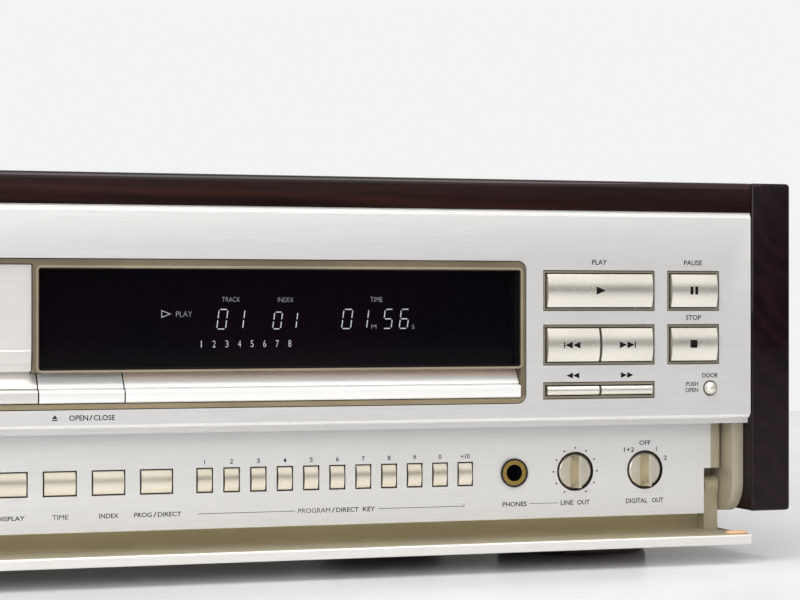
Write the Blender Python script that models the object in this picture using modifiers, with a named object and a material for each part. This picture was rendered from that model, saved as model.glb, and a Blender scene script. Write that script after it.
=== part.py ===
"""A CD player with a rosewood case, a thick aluminium front, a disc tray and a drop-down flap over its keys.

The design frame has X to the right, Y to the back and Z up. Y is zero on the front panel's face and
Z is zero on the table. One empty moves the whole player so that its box is centred on the origin.
"""

import math

import bmesh
import bpy
from mathutils import Euler, Matrix, Vector

MM = 0.001

# Fits and cuts
FIT = 0.3 * MM
OVERRUN = 1.0 * MM
BITE = 0.5 * MM
WELD = 0.001 * MM

# Facets on round pieces
FINE_STEPS = 40
ROUND_STEPS = 28
SMALL_STEPS = 16
ARC_STEPS = 5
SHARP_ANGLE = 35
RIGHT_ANGLE = 90
HALF_TURN = 180
FULL_TURN = 360

# Case
PANEL_WIDTH = 440.0 * MM
SIDE_THICK = 17.2 * MM
SIDE_DROP = 0.1 * MM
SIDE_EDGE = 1.4 * MM
LID_THICK = 11.4 * MM
LID_ROUND = 2.6 * MM
FOOT_HEIGHT = 20.5 * MM
FOOT_RADIUS = 31.0 * MM
FOOT_NECK = 4.0 * MM
FOOT_EDGE = 1.5 * MM
FOOT_INSET_X = 45.4 * MM
FOOT_FRONT_Y = 75.0 * MM
FOOT_REAR_INSET = 62.0 * MM
BASE_THICK = 3.0 * MM
BASE_RIB = 1.2 * MM
BASE_RIB_WIDTH = 14.0 * MM
BASE_RIB_X = 62.0 * MM
BASE_RIB_MARGIN = 60.0 * MM
REAR_THICK = 2.0 * MM
VENT_WIDTH = 3.0 * MM
VENT_HEIGHT = 26.0 * MM
VENT_PITCH = 7.0 * MM
VENT_COUNT = 12
VENT_TOP_MARGIN = 26.0 * MM

# Key bay under the upper panel
KEY_DROP = 1.7 * MM
KEY_BAY_HEIGHT = 36.2 * MM

# Upper front panel
PANEL_THICK = 9.0 * MM
PANEL_HEIGHT = 83.0 * MM
PANEL_CHAMFER_RISE = 2.2 * MM
PANEL_CHAMFER_DEPTH = 1.0 * MM
LIP_BACK = 2.4 * MM
LIP_RISE = 1.9 * MM
LIP_COVE = 1.7 * MM

# Window in the upper panel, with its moulded lining
WINDOW_LEFT_MARGIN = 21.8 * MM
WINDOW_RIGHT_MARGIN = 6.8 * MM
WINDOW_LIFT = 8.9 * MM
WINDOW_HEIGHT = 54.6 * MM
WINDOW_CORNER = 3.4 * MM
LINING_SETBACK = 0.6 * MM
LINING_SILL = 1.8 * MM
LINING_SIDE = 1.9 * MM
DOOR_HEAD = 1.8 * MM
DISPLAY_HEAD = 3.3 * MM
MULLION_WIDTH = 2.2 * MM
CHANNEL_WALL = 1.4 * MM
LEDGE_THICK = 0.9 * MM
LEDGE_FRONT = 4.8 * MM
GLASS_SETBACK = 5.5 * MM
GLASS_THICK = 2.7 * MM

# Bar along the window's foot
BAR_HEIGHT = 10.8 * MM
BAR_NOSE_Y = -0.4 * MM
BAR_NOSE_HEIGHT = 4.9 * MM
BAR_ROUND = 1.2 * MM
BAR_SLOPE_FRONT = 1.6 * MM
BAR_SLOPE_BACK = 5.6 * MM
BAR_GROOVE = 0.6 * MM
EJECT_WIDTH = 30.8 * MM
EJECT_GAP = 0.5 * MM
EJECT_TRAVEL = 1.2 * MM
EJECT_REST = 0.4 * MM

# Transport buttons and the moulded bezel round them
BUTTON_GAP = 0.5 * MM
BUTTON_TRAVEL = 1.2 * MM
BUTTON_PROUD = 0.6 * MM
BUTTON_CROWN = 1.4 * MM
BUTTON_TAIL = 1.3 * MM
BEZEL_RIM = 0.7 * MM
BEZEL_SETBACK = 0.5 * MM
BEZEL_THICK = 2.0 * MM
BEZEL_MARGIN = 2.6 * MM
WIDE_RECESS_WIDTH = 46.7 * MM
SQUARE_RECESS_WIDTH = 22.4 * MM
RECESS_RIGHT_MARGIN = 13.7 * MM
RECESS_SPACE = 5.3 * MM
ROW_HEIGHT = 15.7 * MM
ROW_SPACE = 5.2 * MM
SEARCH_LIFT = 10.4 * MM
SEARCH_HEIGHT = 6.6 * MM
SEARCH_SPACE = 6.4 * MM
SEARCH_CROWN = 0.8 * MM
SEARCH_RIM = 0.9 * MM
SPLIT_GAP = 1.0 * MM
DOOR_BUTTON_INSET = 17.6 * MM
DOOR_BUTTON_LIFT = 14.0 * MM
DOOR_BUTTON_RADIUS = 2.6 * MM
DOOR_BUTTON_REACH = 2.4 * MM
POWER_INSET = 10.5 * MM
POWER_WIDTH = 12.6 * MM

# Key panel behind the flap
KEY_FACE_Y = 14.5 * MM
KEY_PLATE_THICK = 2.0 * MM
KEY_ROW_DROP = 18.25 * MM
KEY_HEIGHT = 8.3 * MM
KEY_GAP = 0.55 * MM
KEY_CROWN = 0.9 * MM
KEY_PROUD = 0.6 * MM
KEY_TRAVEL = 0.8 * MM
KEY_DEPTH = 6.5 * MM
KEY_REST = 1.2 * MM
FUNCTION_KEY_WIDTH = 11.4 * MM
FUNCTION_KEY_PITCH = 17.93 * MM
FUNCTION_KEY_COUNT = 5
NUMBER_KEY_WIDTH = 5.3 * MM
NUMBER_KEY_PITCH = 10.29 * MM
NUMBER_KEY_COUNT = 11
KEY_GROUP_SPACE = 18.18 * MM
JACK_SPACE = 20.1 * MM

# Headphone jack and the two knobs
JACK_RIM_RADIUS = 5.6 * MM
JACK_RING_RADIUS = 4.9 * MM
JACK_BORE_RADIUS = 3.25 * MM
JACK_RIM_PROUD = 0.9 * MM
JACK_RING_DEPTH = 0.4 * MM
JACK_BARREL_RADIUS = 5.0 * MM
JACK_LENGTH = 22.0 * MM
JACK_WALL = 1.5 * MM
KNOB_END_SPACE = 28.7 * MM
KNOB_PITCH = 29.8 * MM
KNOB_JACK_SPACE = 25.7 * MM
KNOB_WELL_RADIUS = 7.7 * MM
KNOB_RADIUS = 6.7 * MM
KNOB_FACE_PROUD = 0.3 * MM
KNOB_GRIP_REACH = 5.2 * MM
KNOB_GRIP_WIDTH = 4.6 * MM
KNOB_GRIP_TOP = 1.2 * MM
KNOB_GRIP_WAIST = 2.4 * MM
KNOB_GRIP_SHOULDER = 1.9 * MM
KNOB_DEPTH = 7.0 * MM
KNOB_REST = 1.0 * MM
KNOB_STEM_RADIUS = 3.0 * MM
KNOB_STEM_GAP = 0.4 * MM
KNOB_STEM_LENGTH = 5.5 * MM

# Flap that covers the keys, in its closed place about its pivot
PIVOT_DEPTH = 7.0 * MM
FLAP_REACH = 4.0 * MM
FLAP_TOP_GAP = 0.4 * MM
FLAP_DROP = 2.8 * MM
FLAP_THICK = 3.8 * MM
FLAP_END_GAP = 1.5 * MM
FLAP_RETURN = 10.5 * MM
FLAP_RETURN_THICK = 2.0 * MM
FLAP_OUTER_ROUND = 5.0 * MM
FLAP_COVE = 5.0 * MM
FLAP_EDGE = 0.5 * MM
ARM_INSET = 2.9 * MM
ARM_WIDTH = 6.0 * MM
ARM_HALF_DEPTH = 3.0 * MM
ARM_END_RADIUS = 4.0 * MM
PIN_RADIUS = 1.8 * MM
PIN_LENGTH = 4.0 * MM
PIN_GAP = 0.15 * MM
FLAP_OPEN_TURN = math.radians(RIGHT_ANGLE)

# Moulded front frame behind the key panel, with the cheeks at its ends
FRAME_DEPTH = 15.2 * MM
FRAME_END_STRIP = 4.8 * MM
FRAME_END_SETBACK = 0.6 * MM
FRAME_END_ROUND = 1.4 * MM
CHEEK_THICK = 4.9 * MM
CHEEK_CLEAR = 0.6 * MM
CHEEK_REACH = 8.0 * MM
CHEEK_LIFT = 0.7 * MM
CHEEK_ROUND = 12.0 * MM
NOTCH_INSET = 7.8 * MM
NOTCH_DROP = 18.2 * MM
POCKET_WALL = 3.3 * MM

# Disc tray and its door
TRAY_LIFT = 15.0 * MM
TRAY_THICK = 8.0 * MM
TRAY_CORNER = 6.0 * MM
TRAY_RIM = 3.7 * MM
TRAY_FRONT_RIM = 3.4 * MM
TRAY_SIDE_GAP = 1.45 * MM
TRAY_HOLD = 21.4 * MM
DISC_WELL_RADIUS = 61.0 * MM
DISC_WELL_DEPTH = 3.8 * MM
DISC_CLEAR_OUT = 7.0 * MM
SMALL_WELL_INSET = 20.0 * MM
SMALL_WELL_DEPTH = 5.2 * MM
SLOT_MARGIN = 5.5 * MM
SLOT_END_GAP = 3.0 * MM
FINGER_DEPTH = 5.2 * MM
FINGER_HALF_WIDTH = 14.0 * MM
FINGER_REACH = 9.0 * MM
DOOR_SETBACK = 1.6 * MM
DOOR_FOOT_SETBACK = 2.6 * MM
DOOR_FOOT_HEIGHT = 6.0 * MM
DOOR_GROOVE = 0.8 * MM

# Rack and gear that drive the tray
MODULE = 1.25 * MM
GEAR_TEETH = 18
PRESSURE_ANGLE = math.radians(20)
RACK_ADDENDUM_SHARE = 0.85
GEAR_ADDENDUM_SHARE = 0.9
DEDENDUM_SHARE = 1.2
BACKLASH = 0.2 * MM
RACK_INSET = 14.35 * MM
RACK_BACK = 2.6 * MM
RACK_DROP = 6.2 * MM
RACK_LEAD = 0.8 * MM
GEAR_MARGIN = 0.3 * MM
GEAR_HEAD_GAP = 1.0 * MM
GEAR_THICK = 5.4 * MM
GEAR_BORE = 2.2 * MM
FLANK_STEPS = 4

# Loader frame
LOADER_SETBACK = 0.2 * MM
LOADER_LENGTH = 175.0 * MM
LOADER_SPACE = 37.8 * MM
LOADER_FLOOR = 3.0 * MM
LOADER_WALL = 3.6 * MM
LOADER_SIDE_GAP = 1.5 * MM
LOADER_RISE = 5.7 * MM
RAIL_THICK = 5.0 * MM
RAIL_REACH = 4.5 * MM
SHELF_THICK = 3.6 * MM
SHELF_HALF_LENGTH = 8.0 * MM
POST_RADIUS = 4.0 * MM
POST_INSET = 7.0 * MM

# Traverse with spindle and pick-up
TRAVERSE_WIDTH = 92.0 * MM
TRAVERSE_LEAD = 3.0 * MM
TRAVERSE_TAIL = 25.0 * MM
TRAVERSE_DROP = 12.0 * MM
TRAVERSE_THICK = 3.0 * MM
TRAVERSE_LIFT = 12.0 * MM
MOTOR_RADIUS = 12.0 * MM
MOTOR_DEPTH = 13.0 * MM
SPINDLE_RADIUS = 2.0 * MM
SPINDLE_GAP = 0.4 * MM
SEAT_RADIUS = 13.5 * MM
SEAT_THICK = 3.0 * MM
CONE_RADIUS = 7.3 * MM
CONE_TOP_RADIUS = 5.5 * MM
CONE_HEIGHT = 3.0 * MM
SLED_HALF_WIDTH = 16.4 * MM
SLED_GAP = 0.5 * MM
SLED_LEAD = 2.0 * MM
SLED_LENGTH = 26.0 * MM
SLED_TRAVEL = 33.0 * MM
SLED_FLANGE = 5.5 * MM
SLED_FLANGE_THICK = 2.0 * MM
SLED_BODY_DEPTH = 9.0 * MM
LENS_INSET = 11.0 * MM
LENS_RADIUS = 3.6 * MM
LENS_HOUSING_RADIUS = 5.5 * MM
LENS_HEIGHT = 3.0 * MM

# Clamp over the disc
BRIDGE_THICK = 3.0 * MM
BRIDGE_LENGTH = 44.0 * MM
BRIDGE_FLANGE = 5.0 * MM
PUCK_RADIUS = 11.0 * MM
PUCK_HOLE_GAP = 1.0 * MM
PUCK_RIM = 4.0 * MM
PUCK_RIM_THICK = 2.5 * MM
PUCK_LIFT = 1.5 * MM
PUCK_RECESS_RADIUS = 8.5 * MM
PUCK_RECESS_DEPTH = 3.0 * MM

# Electronics
TUBE_MARGIN = 4.0 * MM
SWITCH_LENGTH = 3.2 * MM
FRONT_BOARD_MARGIN = 6.0 * MM
SWITCH_RADIUS = 1.7 * MM
BOARD_THICK = 1.6 * MM
BOARD_WIDTH = 200.0 * MM
BOARD_SIDE_MARGIN = 15.0 * MM
BOARD_LENGTH = 235.0 * MM
BOARD_BACK_MARGIN = 31.0 * MM
BOARD_LIFT = 8.0 * MM
STAND_RADIUS = 3.0 * MM
STAND_INSET = 8.0 * MM
CAPACITOR_RADIUS = 9.0 * MM
CAPACITOR_HEIGHT = 32.0 * MM
CAPACITOR_PITCH = 24.0 * MM
CAPACITOR_COUNT = 4
CAPACITOR_INSET = 20.0 * MM
SINK_HEIGHT = 34.0 * MM
SINK_LENGTH = 60.0 * MM
SINK_FIN = 2.0 * MM
SINK_FIN_COUNT = 5
SINK_FIN_PITCH = 6.0 * MM
CHIP_SIZE = 26.0 * MM
CHIP_HEIGHT = 4.0 * MM
TRANSFORMER_INSET_X = 70.0 * MM
TRANSFORMER_REAR_SPACE = 49.0 * MM
TRANSFORMER_RADIUS = 46.0 * MM
TRANSFORMER_HEIGHT = 62.0 * MM
TRANSFORMER_FOOT = 6.0 * MM
TRANSFORMER_FOOT_THICK = 3.0 * MM
TRANSFORMER_EDGE = 5.0 * MM

# Sockets on the rear panel
SOCKET_SIDE_MARGIN = 28.0 * MM
SOCKET_BOARD_LIFT = 37.9 * MM
SOCKET_BOARD_MARGIN = 11.0 * MM
SOCKET_BOARD_THICK = 3.0 * MM
SOCKET_REACH = 10.0 * MM
SOCKET_RADIUS = 4.2 * MM
SOCKET_COLLAR = 2.0 * MM
SOCKET_COLLAR_THICK = 1.4 * MM
SOCKET_BORE = 1.7 * MM
SOCKET_BORE_DEPTH = 8.0 * MM
SOCKET_PITCH_X = 24.0 * MM
SOCKET_PITCH_Z = 22.0 * MM
SOCKET_INSET = 12.0 * MM
SOCKET_COLUMNS = 4
SOCKET_BORE_STEPS = 8
OPTICAL_SPACE = 22.0 * MM
OPTICAL_WIDTH = 10.0 * MM
OPTICAL_HEIGHT = 9.0 * MM
OPTICAL_REACH = 3.0 * MM
INLET_INSET = 55.0 * MM
INLET_LIFT = 27.9 * MM
INLET_WIDTH = 28.0 * MM
INLET_HEIGHT = 20.0 * MM
INLET_FLANGE_EAR = 10.0 * MM
INLET_FLANGE_EDGE = 1.5 * MM
INLET_FLANGE_THICK = 2.0 * MM
INLET_DEPTH = 24.0 * MM
INLET_WALL = 2.0 * MM
INLET_CAVITY_DEPTH = 17.0 * MM
BLADE_WIDTH = 2.0 * MM
BLADE_HEIGHT = 4.0 * MM
BLADE_LENGTH = 11.0 * MM
BLADE_PITCH = 7.0 * MM

# Depths that follow from front to back: key bay, loader, transformer, rear wall
FRAME_BACK_Y = KEY_FACE_Y + FRAME_DEPTH
BASE_FRONT_Y = FRAME_BACK_Y + FIT
LOADER_FRONT_Y = BASE_FRONT_Y + LOADER_SETBACK
TRANSFORMER_REACH = TRANSFORMER_RADIUS + TRANSFORMER_FOOT
TRANSFORMER_Y = LOADER_FRONT_Y + LOADER_LENGTH + LOADER_SPACE + TRANSFORMER_REACH
CASE_DEPTH = TRANSFORMER_Y + TRANSFORMER_REACH + TRANSFORMER_REAR_SPACE

# Case edges that follow from the sizes above
PANEL_HALF = PANEL_WIDTH / 2
SIDE_INNER_X = PANEL_HALF + FIT
SIDE_LIFT = FOOT_HEIGHT - SIDE_DROP
BASE_LOW_Z = FOOT_HEIGHT + FIT
BASE_TOP_Z = BASE_LOW_Z + BASE_THICK
INSIDE_LOW_Z = BASE_TOP_Z + FIT
REAR_FACE_Y = CASE_DEPTH - FIT
KEY_LOW_Z = FOOT_HEIGHT - KEY_DROP
KEY_TOP_Z = KEY_LOW_Z + KEY_BAY_HEIGHT
LIP_Z = KEY_TOP_Z + FIT
PANEL_TOP_Z = LIP_Z + PANEL_HEIGHT
LID_LOW_Z = PANEL_TOP_Z + FIT
TOP_Z = LID_LOW_Z + LID_THICK

# Button recesses, counted from the panel's right end and its lip
SQUARE_RECESS_X = PANEL_HALF - RECESS_RIGHT_MARGIN - SQUARE_RECESS_WIDTH
WIDE_RECESS_X = SQUARE_RECESS_X - RECESS_SPACE - WIDE_RECESS_WIDTH
SEARCH_ROW_Z = LIP_Z + SEARCH_LIFT
MIDDLE_ROW_Z = SEARCH_ROW_Z + SEARCH_HEIGHT + SEARCH_SPACE
UPPER_ROW_Z = MIDDLE_ROW_Z + ROW_HEIGHT + ROW_SPACE
DOOR_BUTTON_X = PANEL_HALF - DOOR_BUTTON_INSET
DOOR_BUTTON_Z = LIP_Z + DOOR_BUTTON_LIFT
POWER_X = POWER_INSET - PANEL_HALF

# Window, its bar and its ledge
WINDOW_LEFT_X = WINDOW_LEFT_MARGIN - PANEL_HALF
WINDOW_RIGHT_X = WIDE_RECESS_X - WINDOW_RIGHT_MARGIN
WINDOW_LOW_Z = LIP_Z + WINDOW_LIFT
WINDOW_TOP_Z = WINDOW_LOW_Z + WINDOW_HEIGHT
SILL_Z = WINDOW_LOW_Z + LINING_SILL + FIT
BAR_LOW_Z = SILL_Z + FIT
BAR_TOP_Z = BAR_LOW_Z + BAR_HEIGHT
LEDGE_LOW_Z = BAR_TOP_Z + FIT
LEDGE_TOP_Z = LEDGE_LOW_Z + LEDGE_THICK
DOOR_HOLE_TOP_Z = WINDOW_TOP_Z - FIT - DOOR_HEAD
GLASS_HOLE_TOP_Z = WINDOW_TOP_Z - FIT - DISPLAY_HEAD
TRAY_WIDTH = 2 * (DISC_WELL_RADIUS + TRAY_RIM)
HOLE_LEFT_X = WINDOW_LEFT_X + FIT + LINING_SIDE
HOLE_RIGHT_X = WINDOW_RIGHT_X - FIT - LINING_SIDE
MULLION_LEFT_X = HOLE_LEFT_X + TRAY_WIDTH + 2 * TRAY_SIDE_GAP
MULLION_RIGHT_X = MULLION_LEFT_X + MULLION_WIDTH
TRAY_X = (HOLE_LEFT_X + MULLION_LEFT_X) / 2
EJECT_LEFT_X = MULLION_RIGHT_X
EJECT_RIGHT_X = EJECT_LEFT_X + EJECT_WIDTH
BAR_CHANNEL_BACK = PANEL_THICK - CHANNEL_WALL
EJECT_BACK_Y = BAR_CHANNEL_BACK - EJECT_TRAVEL - EJECT_REST
BUTTON_BACK_Y = PANEL_THICK + FIT + BEZEL_THICK + BUTTON_TAIL
SWITCH_FRONT_Y = BUTTON_BACK_Y + BUTTON_TRAVEL + FIT
FRONT_BOARD_Y = SWITCH_FRONT_Y + SWITCH_LENGTH

# Key row, counted from the frame's ends
CHEEK_INNER_X = PANEL_HALF - CHEEK_THICK
FRAME_END_X = CHEEK_INNER_X - CHEEK_CLEAR
KEY_PLATE_HALF = FRAME_END_X - FRAME_END_STRIP
NOTCH_X = FRAME_END_X - NOTCH_INSET
ARM_X = FRAME_END_X - ARM_INSET
DIGITAL_KNOB_X = KEY_PLATE_HALF - KNOB_END_SPACE
LINE_KNOB_X = DIGITAL_KNOB_X - KNOB_PITCH
JACK_X = LINE_KNOB_X - KNOB_JACK_SPACE
NUMBER_KEY_X = JACK_X - JACK_SPACE - (NUMBER_KEY_COUNT - 1) * NUMBER_KEY_PITCH
FUNCTION_KEY_X = NUMBER_KEY_X - KEY_GROUP_SPACE - (FUNCTION_KEY_COUNT - 1) * FUNCTION_KEY_PITCH
KEY_ROW_Z = KEY_TOP_Z - KEY_ROW_DROP
NOTCH_TOP_Z = KEY_TOP_Z - NOTCH_DROP
KEY_BACK_Y = KEY_FACE_Y + KEY_DEPTH
KEY_POCKET_BACK = KEY_BACK_Y + KEY_TRAVEL + KEY_REST
KNOB_BACK_Y = KEY_FACE_Y + KNOB_DEPTH
KNOB_WELL_BACK = KNOB_BACK_Y + KNOB_REST
KNOB_STEM_END_Y = KNOB_BACK_Y + KNOB_STEM_LENGTH
FRAME_END_FACE_Y = KEY_FACE_Y + FRAME_END_SETBACK
CHEEK_FACE_Y = KEY_FACE_Y - CHEEK_REACH
CHEEK_LOW_Z = KEY_LOW_Z + CHEEK_LIFT
POCKET_BACK_Y = FRAME_BACK_Y - POCKET_WALL
PIVOT_Y = KEY_FACE_Y + PIVOT_DEPTH
PIVOT_Z = LIP_Z - FLAP_TOP_GAP - PIVOT_Y - FLAP_REACH
FLAP_LOW_Z = KEY_LOW_Z - FLAP_DROP
FLAP_WIDTH = PANEL_WIDTH - 2 * FLAP_END_GAP

# Tray, loader and traverse, counted from the disc in the tray
DOOR_BACK_Y = BAR_CHANNEL_BACK - FIT
TRAY_FRONT_Y = DOOR_BACK_Y + FIT
DISC_CENTRE_X = TRAY_X
DISC_CENTRE_Y = TRAY_FRONT_Y + TRAY_FRONT_RIM + DISC_WELL_RADIUS
TRAY_TRAVEL = DISC_CENTRE_Y + DISC_WELL_RADIUS + DISC_CLEAR_OUT
TRAY_LENGTH = TRAY_TRAVEL + LOADER_FRONT_Y + TRAY_HOLD - TRAY_FRONT_Y
TRAY_LOW_Z = SILL_Z + TRAY_LIFT
TRAY_TOP_Z = TRAY_LOW_Z + TRAY_THICK
SMALL_WELL_RADIUS = DISC_WELL_RADIUS - SMALL_WELL_INSET
SLOT_RADIUS = SEAT_RADIUS + SLOT_MARGIN
GEAR_RADIUS = MODULE * GEAR_TEETH / 2
GEAR_Y = LOADER_FRONT_Y + GEAR_RADIUS + MODULE + GEAR_MARGIN
RACK_FRONT_Y = GEAR_Y - GEAR_RADIUS - RACK_LEAD
RACK_PITCH_X = TRAY_X + TRAY_WIDTH / 2 - RACK_INSET
GEAR_X = RACK_PITCH_X - GEAR_RADIUS
RAIL_TOP_Z = TRAY_LOW_Z - FIT
RAIL_INNER_HALF = TRAY_WIDTH / 2 - RAIL_REACH
LOADER_HALF = TRAY_WIDTH / 2 + LOADER_SIDE_GAP + LOADER_WALL
LOADER_TOP_Z = TRAY_TOP_Z + LOADER_RISE
GEAR_TOP_Z = TRAY_LOW_Z - FIT - GEAR_HEAD_GAP
GEAR_LOW_Z = GEAR_TOP_Z - GEAR_THICK
SEAT_Z = TRAY_TOP_Z - TRAVERSE_LIFT
TRAVERSE_TOP_Z = SEAT_Z - TRAVERSE_DROP
TRAVERSE_FRONT_Y = DISC_CENTRE_Y - MOTOR_RADIUS - TRAVERSE_LEAD
SLED_FRONT_Y = DISC_CENTRE_Y + MOTOR_RADIUS + SLED_LEAD
TRAVERSE_BACK_Y = SLED_FRONT_Y + SLED_LENGTH + SLED_TRAVEL + TRAVERSE_TAIL
LENS_Y = SLED_FRONT_Y + LENS_INSET
SLOT_BACK_Y = LENS_Y + SLED_TRAVEL + SLOT_END_GAP
SPINDLE_HOLE = SPINDLE_RADIUS + SPINDLE_GAP
PUCK_HOLE = PUCK_RADIUS + PUCK_HOLE_GAP
PUCK_LOW_Z = TRAY_TOP_Z + PUCK_LIFT

# Electronics and sockets, counted from the case's walls
BOARD_RIGHT_X = PANEL_HALF - BOARD_SIDE_MARGIN
BOARD_X = BOARD_RIGHT_X - BOARD_WIDTH
BOARD_BACK_Y = CASE_DEPTH - BOARD_BACK_MARGIN
BOARD_FRONT_Y = BOARD_BACK_Y - BOARD_LENGTH
TRANSFORMER_X = TRANSFORMER_INSET_X - PANEL_HALF
SOCKET_BOARD_WIDTH = SOCKET_INSET + SOCKET_COLUMNS * SOCKET_PITCH_X + OPTICAL_SPACE
SOCKET_BOARD_X = PANEL_HALF - SOCKET_SIDE_MARGIN - SOCKET_BOARD_WIDTH
SOCKET_BOARD_Z = INSIDE_LOW_Z + SOCKET_BOARD_LIFT
SOCKET_BOARD_HEIGHT = SOCKET_PITCH_Z + 2 * SOCKET_BOARD_MARGIN
INLET_X = INLET_INSET - PANEL_HALF
INLET_Z = INSIDE_LOW_Z + INLET_LIFT
REAR_REACH = CASE_DEPTH + SOCKET_REACH
FRAME_SHIFT_Y = (FLAP_REACH - REAR_REACH) / 2

ALUMINIUM = ((0.80, 0.79, 0.77), 0.36, 1.0)
CHAMPAGNE = ((0.79, 0.74, 0.64), 0.34, 1.0)
LINING = ((0.27, 0.235, 0.16), 0.5, 0.2)
BEIGE = ((0.47, 0.43, 0.31), 0.45, 0.1)
ROSEWOOD = ((0.055, 0.012, 0.011), 0.12, 0.0)
BLACK_GLASS = ((0.006, 0.004, 0.008), 0.06, 0.0)
BLACK_PLASTIC = ((0.02, 0.02, 0.02), 0.45, 0.0)
DARK_METAL = ((0.05, 0.05, 0.052), 0.5, 0.6)
ZINC_STEEL = ((0.62, 0.61, 0.56), 0.4, 1.0)
GREY_PLASTIC = ((0.10, 0.10, 0.105), 0.5, 0.0)
PALE_PLASTIC = ((0.66, 0.65, 0.6), 0.5, 0.0)
GOLD = ((0.75, 0.54, 0.22), 0.25, 1.0)
CIRCUIT = ((0.08, 0.19, 0.07), 0.45, 0.0)

DRAWN_ALONG = {
    "X": Matrix(((0, 0, 1), (1, 0, 0), (0, 1, 0))).to_4x4(),
    "Y": Matrix(((1, 0, 0), (0, 0, -1), (0, 1, 0))).to_4x4(),
    "Z": Matrix.Identity(4),
}


def clear_scene():
    """Remove every object that the scene starts with."""
    for thing in list(bpy.data.objects):
        bpy.data.objects.remove(thing, do_unlink=True)


def new_collection(name):
    """A collection of that name under the scene's own."""
    collection = bpy.data.collections.new(name)
    bpy.context.scene.collection.children.link(collection)
    return collection


clear_scene()
PARTS = new_collection("cd_player")
CUTTERS = new_collection("cutters")
CUTTERS.hide_render = True
ROOT = bpy.data.objects.new("cd_player_frame", None)
ROOT.location = (0, FRAME_SHIFT_Y, 0)
PARTS.objects.link(ROOT)


def add_object(name, mesh, matrix=None):
    """An object in the parts collection, carried by the player's own empty."""
    made = bpy.data.objects.new(name, mesh)
    PARTS.objects.link(made)
    made.parent = ROOT
    if matrix is not None:
        made.matrix_local = matrix
    return made


def arc(centre_u, centre_v, radius, start, end, steps=ARC_STEPS):
    """Points on an arc from one angle to another, in degrees."""
    turns = [math.radians(start + (end - start) * i / steps) for i in range(steps + 1)]
    return [(centre_u + radius * math.cos(a), centre_v + radius * math.sin(a)) for a in turns]


def rectangle(left, right, low, high, corner=0.0):
    """A rectangle's outline, with round corners where a radius is given."""
    if not corner:
        return [(left, low), (right, low), (right, high), (left, high)]
    return (
        arc(right - corner, low + corner, corner, -RIGHT_ANGLE, 0)
        + arc(right - corner, high - corner, corner, 0, RIGHT_ANGLE)
        + arc(left + corner, high - corner, corner, RIGHT_ANGLE, HALF_TURN)
        + arc(left + corner, low + corner, corner, HALF_TURN, HALF_TURN + RIGHT_ANGLE)
    )


def ring(centre, radius, steps=ROUND_STEPS):
    """A full circle's outline."""
    return arc(*centre, radius, 0, FULL_TURN, steps)[:-1]


def prism(name, outline, axis, low, high, holes=()):
    """A flat outline, with any holes in it, drawn out along an axis from low to high on it."""
    curve = bpy.data.curves.new(name, "CURVE")
    curve.dimensions = "2D"
    curve.fill_mode = "BOTH"
    curve.extrude = (high - low) / 2
    for points in (outline, *holes):
        spline = curve.splines.new("POLY")
        spline.points.add(len(points) - 1)
        for point, (u, v) in zip(spline.points, points):
            point.co = (u, v, 0, 1)
        spline.use_cyclic_u = True
    drawn = bpy.data.objects.new(name, curve)
    PARTS.objects.link(drawn)
    turn = DRAWN_ALONG[axis]
    middle = Vector((0, 0, 0))
    middle["XYZ".index(axis)] = (low + high) / 2
    drawn.matrix_world = Matrix.Translation(middle) @ turn
    bpy.context.view_layer.update()
    graph = bpy.context.evaluated_depsgraph_get()
    mesh = bpy.data.meshes.new_from_object(drawn.evaluated_get(graph))
    mesh.transform(drawn.matrix_world)
    bpy.data.objects.remove(drawn, do_unlink=True)
    work = bmesh.new()
    work.from_mesh(mesh)
    bmesh.ops.remove_doubles(work, verts=work.verts, dist=WELD)
    bmesh.ops.recalc_face_normals(work, faces=work.faces)
    work.to_mesh(mesh)
    work.free()
    return add_object(name, mesh)


def box(name, x_span, y_span, z_span):
    """A plain block between two places on each axis."""
    spans = (x_span, y_span, z_span)
    work = bmesh.new()
    bmesh.ops.create_cube(work, size=1)
    bmesh.ops.scale(work, vec=[high - low for low, high in spans], verts=work.verts)
    bmesh.ops.translate(work, vec=[(low + high) / 2 for low, high in spans], verts=work.verts)
    mesh = bpy.data.meshes.new(name)
    work.to_mesh(mesh)
    work.free()
    return add_object(name, mesh)


def rod(name, axis, centre, radius, low, high, steps=ROUND_STEPS, end_radius=None):
    """A round bar along an axis, whose far end may have a radius of its own."""
    work = bmesh.new()
    bmesh.ops.create_cone(
        work,
        cap_ends=True,
        segments=steps,
        radius1=radius,
        radius2=radius if end_radius is None else end_radius,
        depth=high - low,
    )
    middle = list(centre)
    middle.insert("XYZ".index(axis), (low + high) / 2)
    turn = {"X": (0, math.pi / 2, 0), "Y": (-math.pi / 2, 0, 0), "Z": (0, 0, 0)}[axis]
    work.transform(Matrix.Translation(middle) @ Euler(turn).to_matrix().to_4x4())
    mesh = bpy.data.meshes.new(name)
    work.to_mesh(mesh)
    work.free()
    return add_object(name, mesh)


def turned(name, profile, place, forward=False, steps=ROUND_STEPS):
    """A profile of (radius, height) turned about its own axis, which points up or to the front."""
    mesh = bpy.data.meshes.new(name)
    mesh.from_pydata([(r, 0, h) for r, h in profile], [(i, i + 1) for i in range(len(profile) - 1)], [])
    made = add_object(name, mesh)
    made.location = place
    if forward:
        made.rotation_euler.x = math.radians(RIGHT_ANGLE)
    screw = made.modifiers.new("turn", "SCREW")
    screw.steps = steps
    screw.render_steps = steps
    screw.use_merge_vertices = True
    screw.merge_threshold = WELD
    return made


def as_tool(tool):
    """Move a shape that only cuts or joins out of the parts."""
    PARTS.objects.unlink(tool)
    CUTTERS.objects.link(tool)
    tool.hide_render = True
    tool.display_type = "WIRE"


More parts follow.
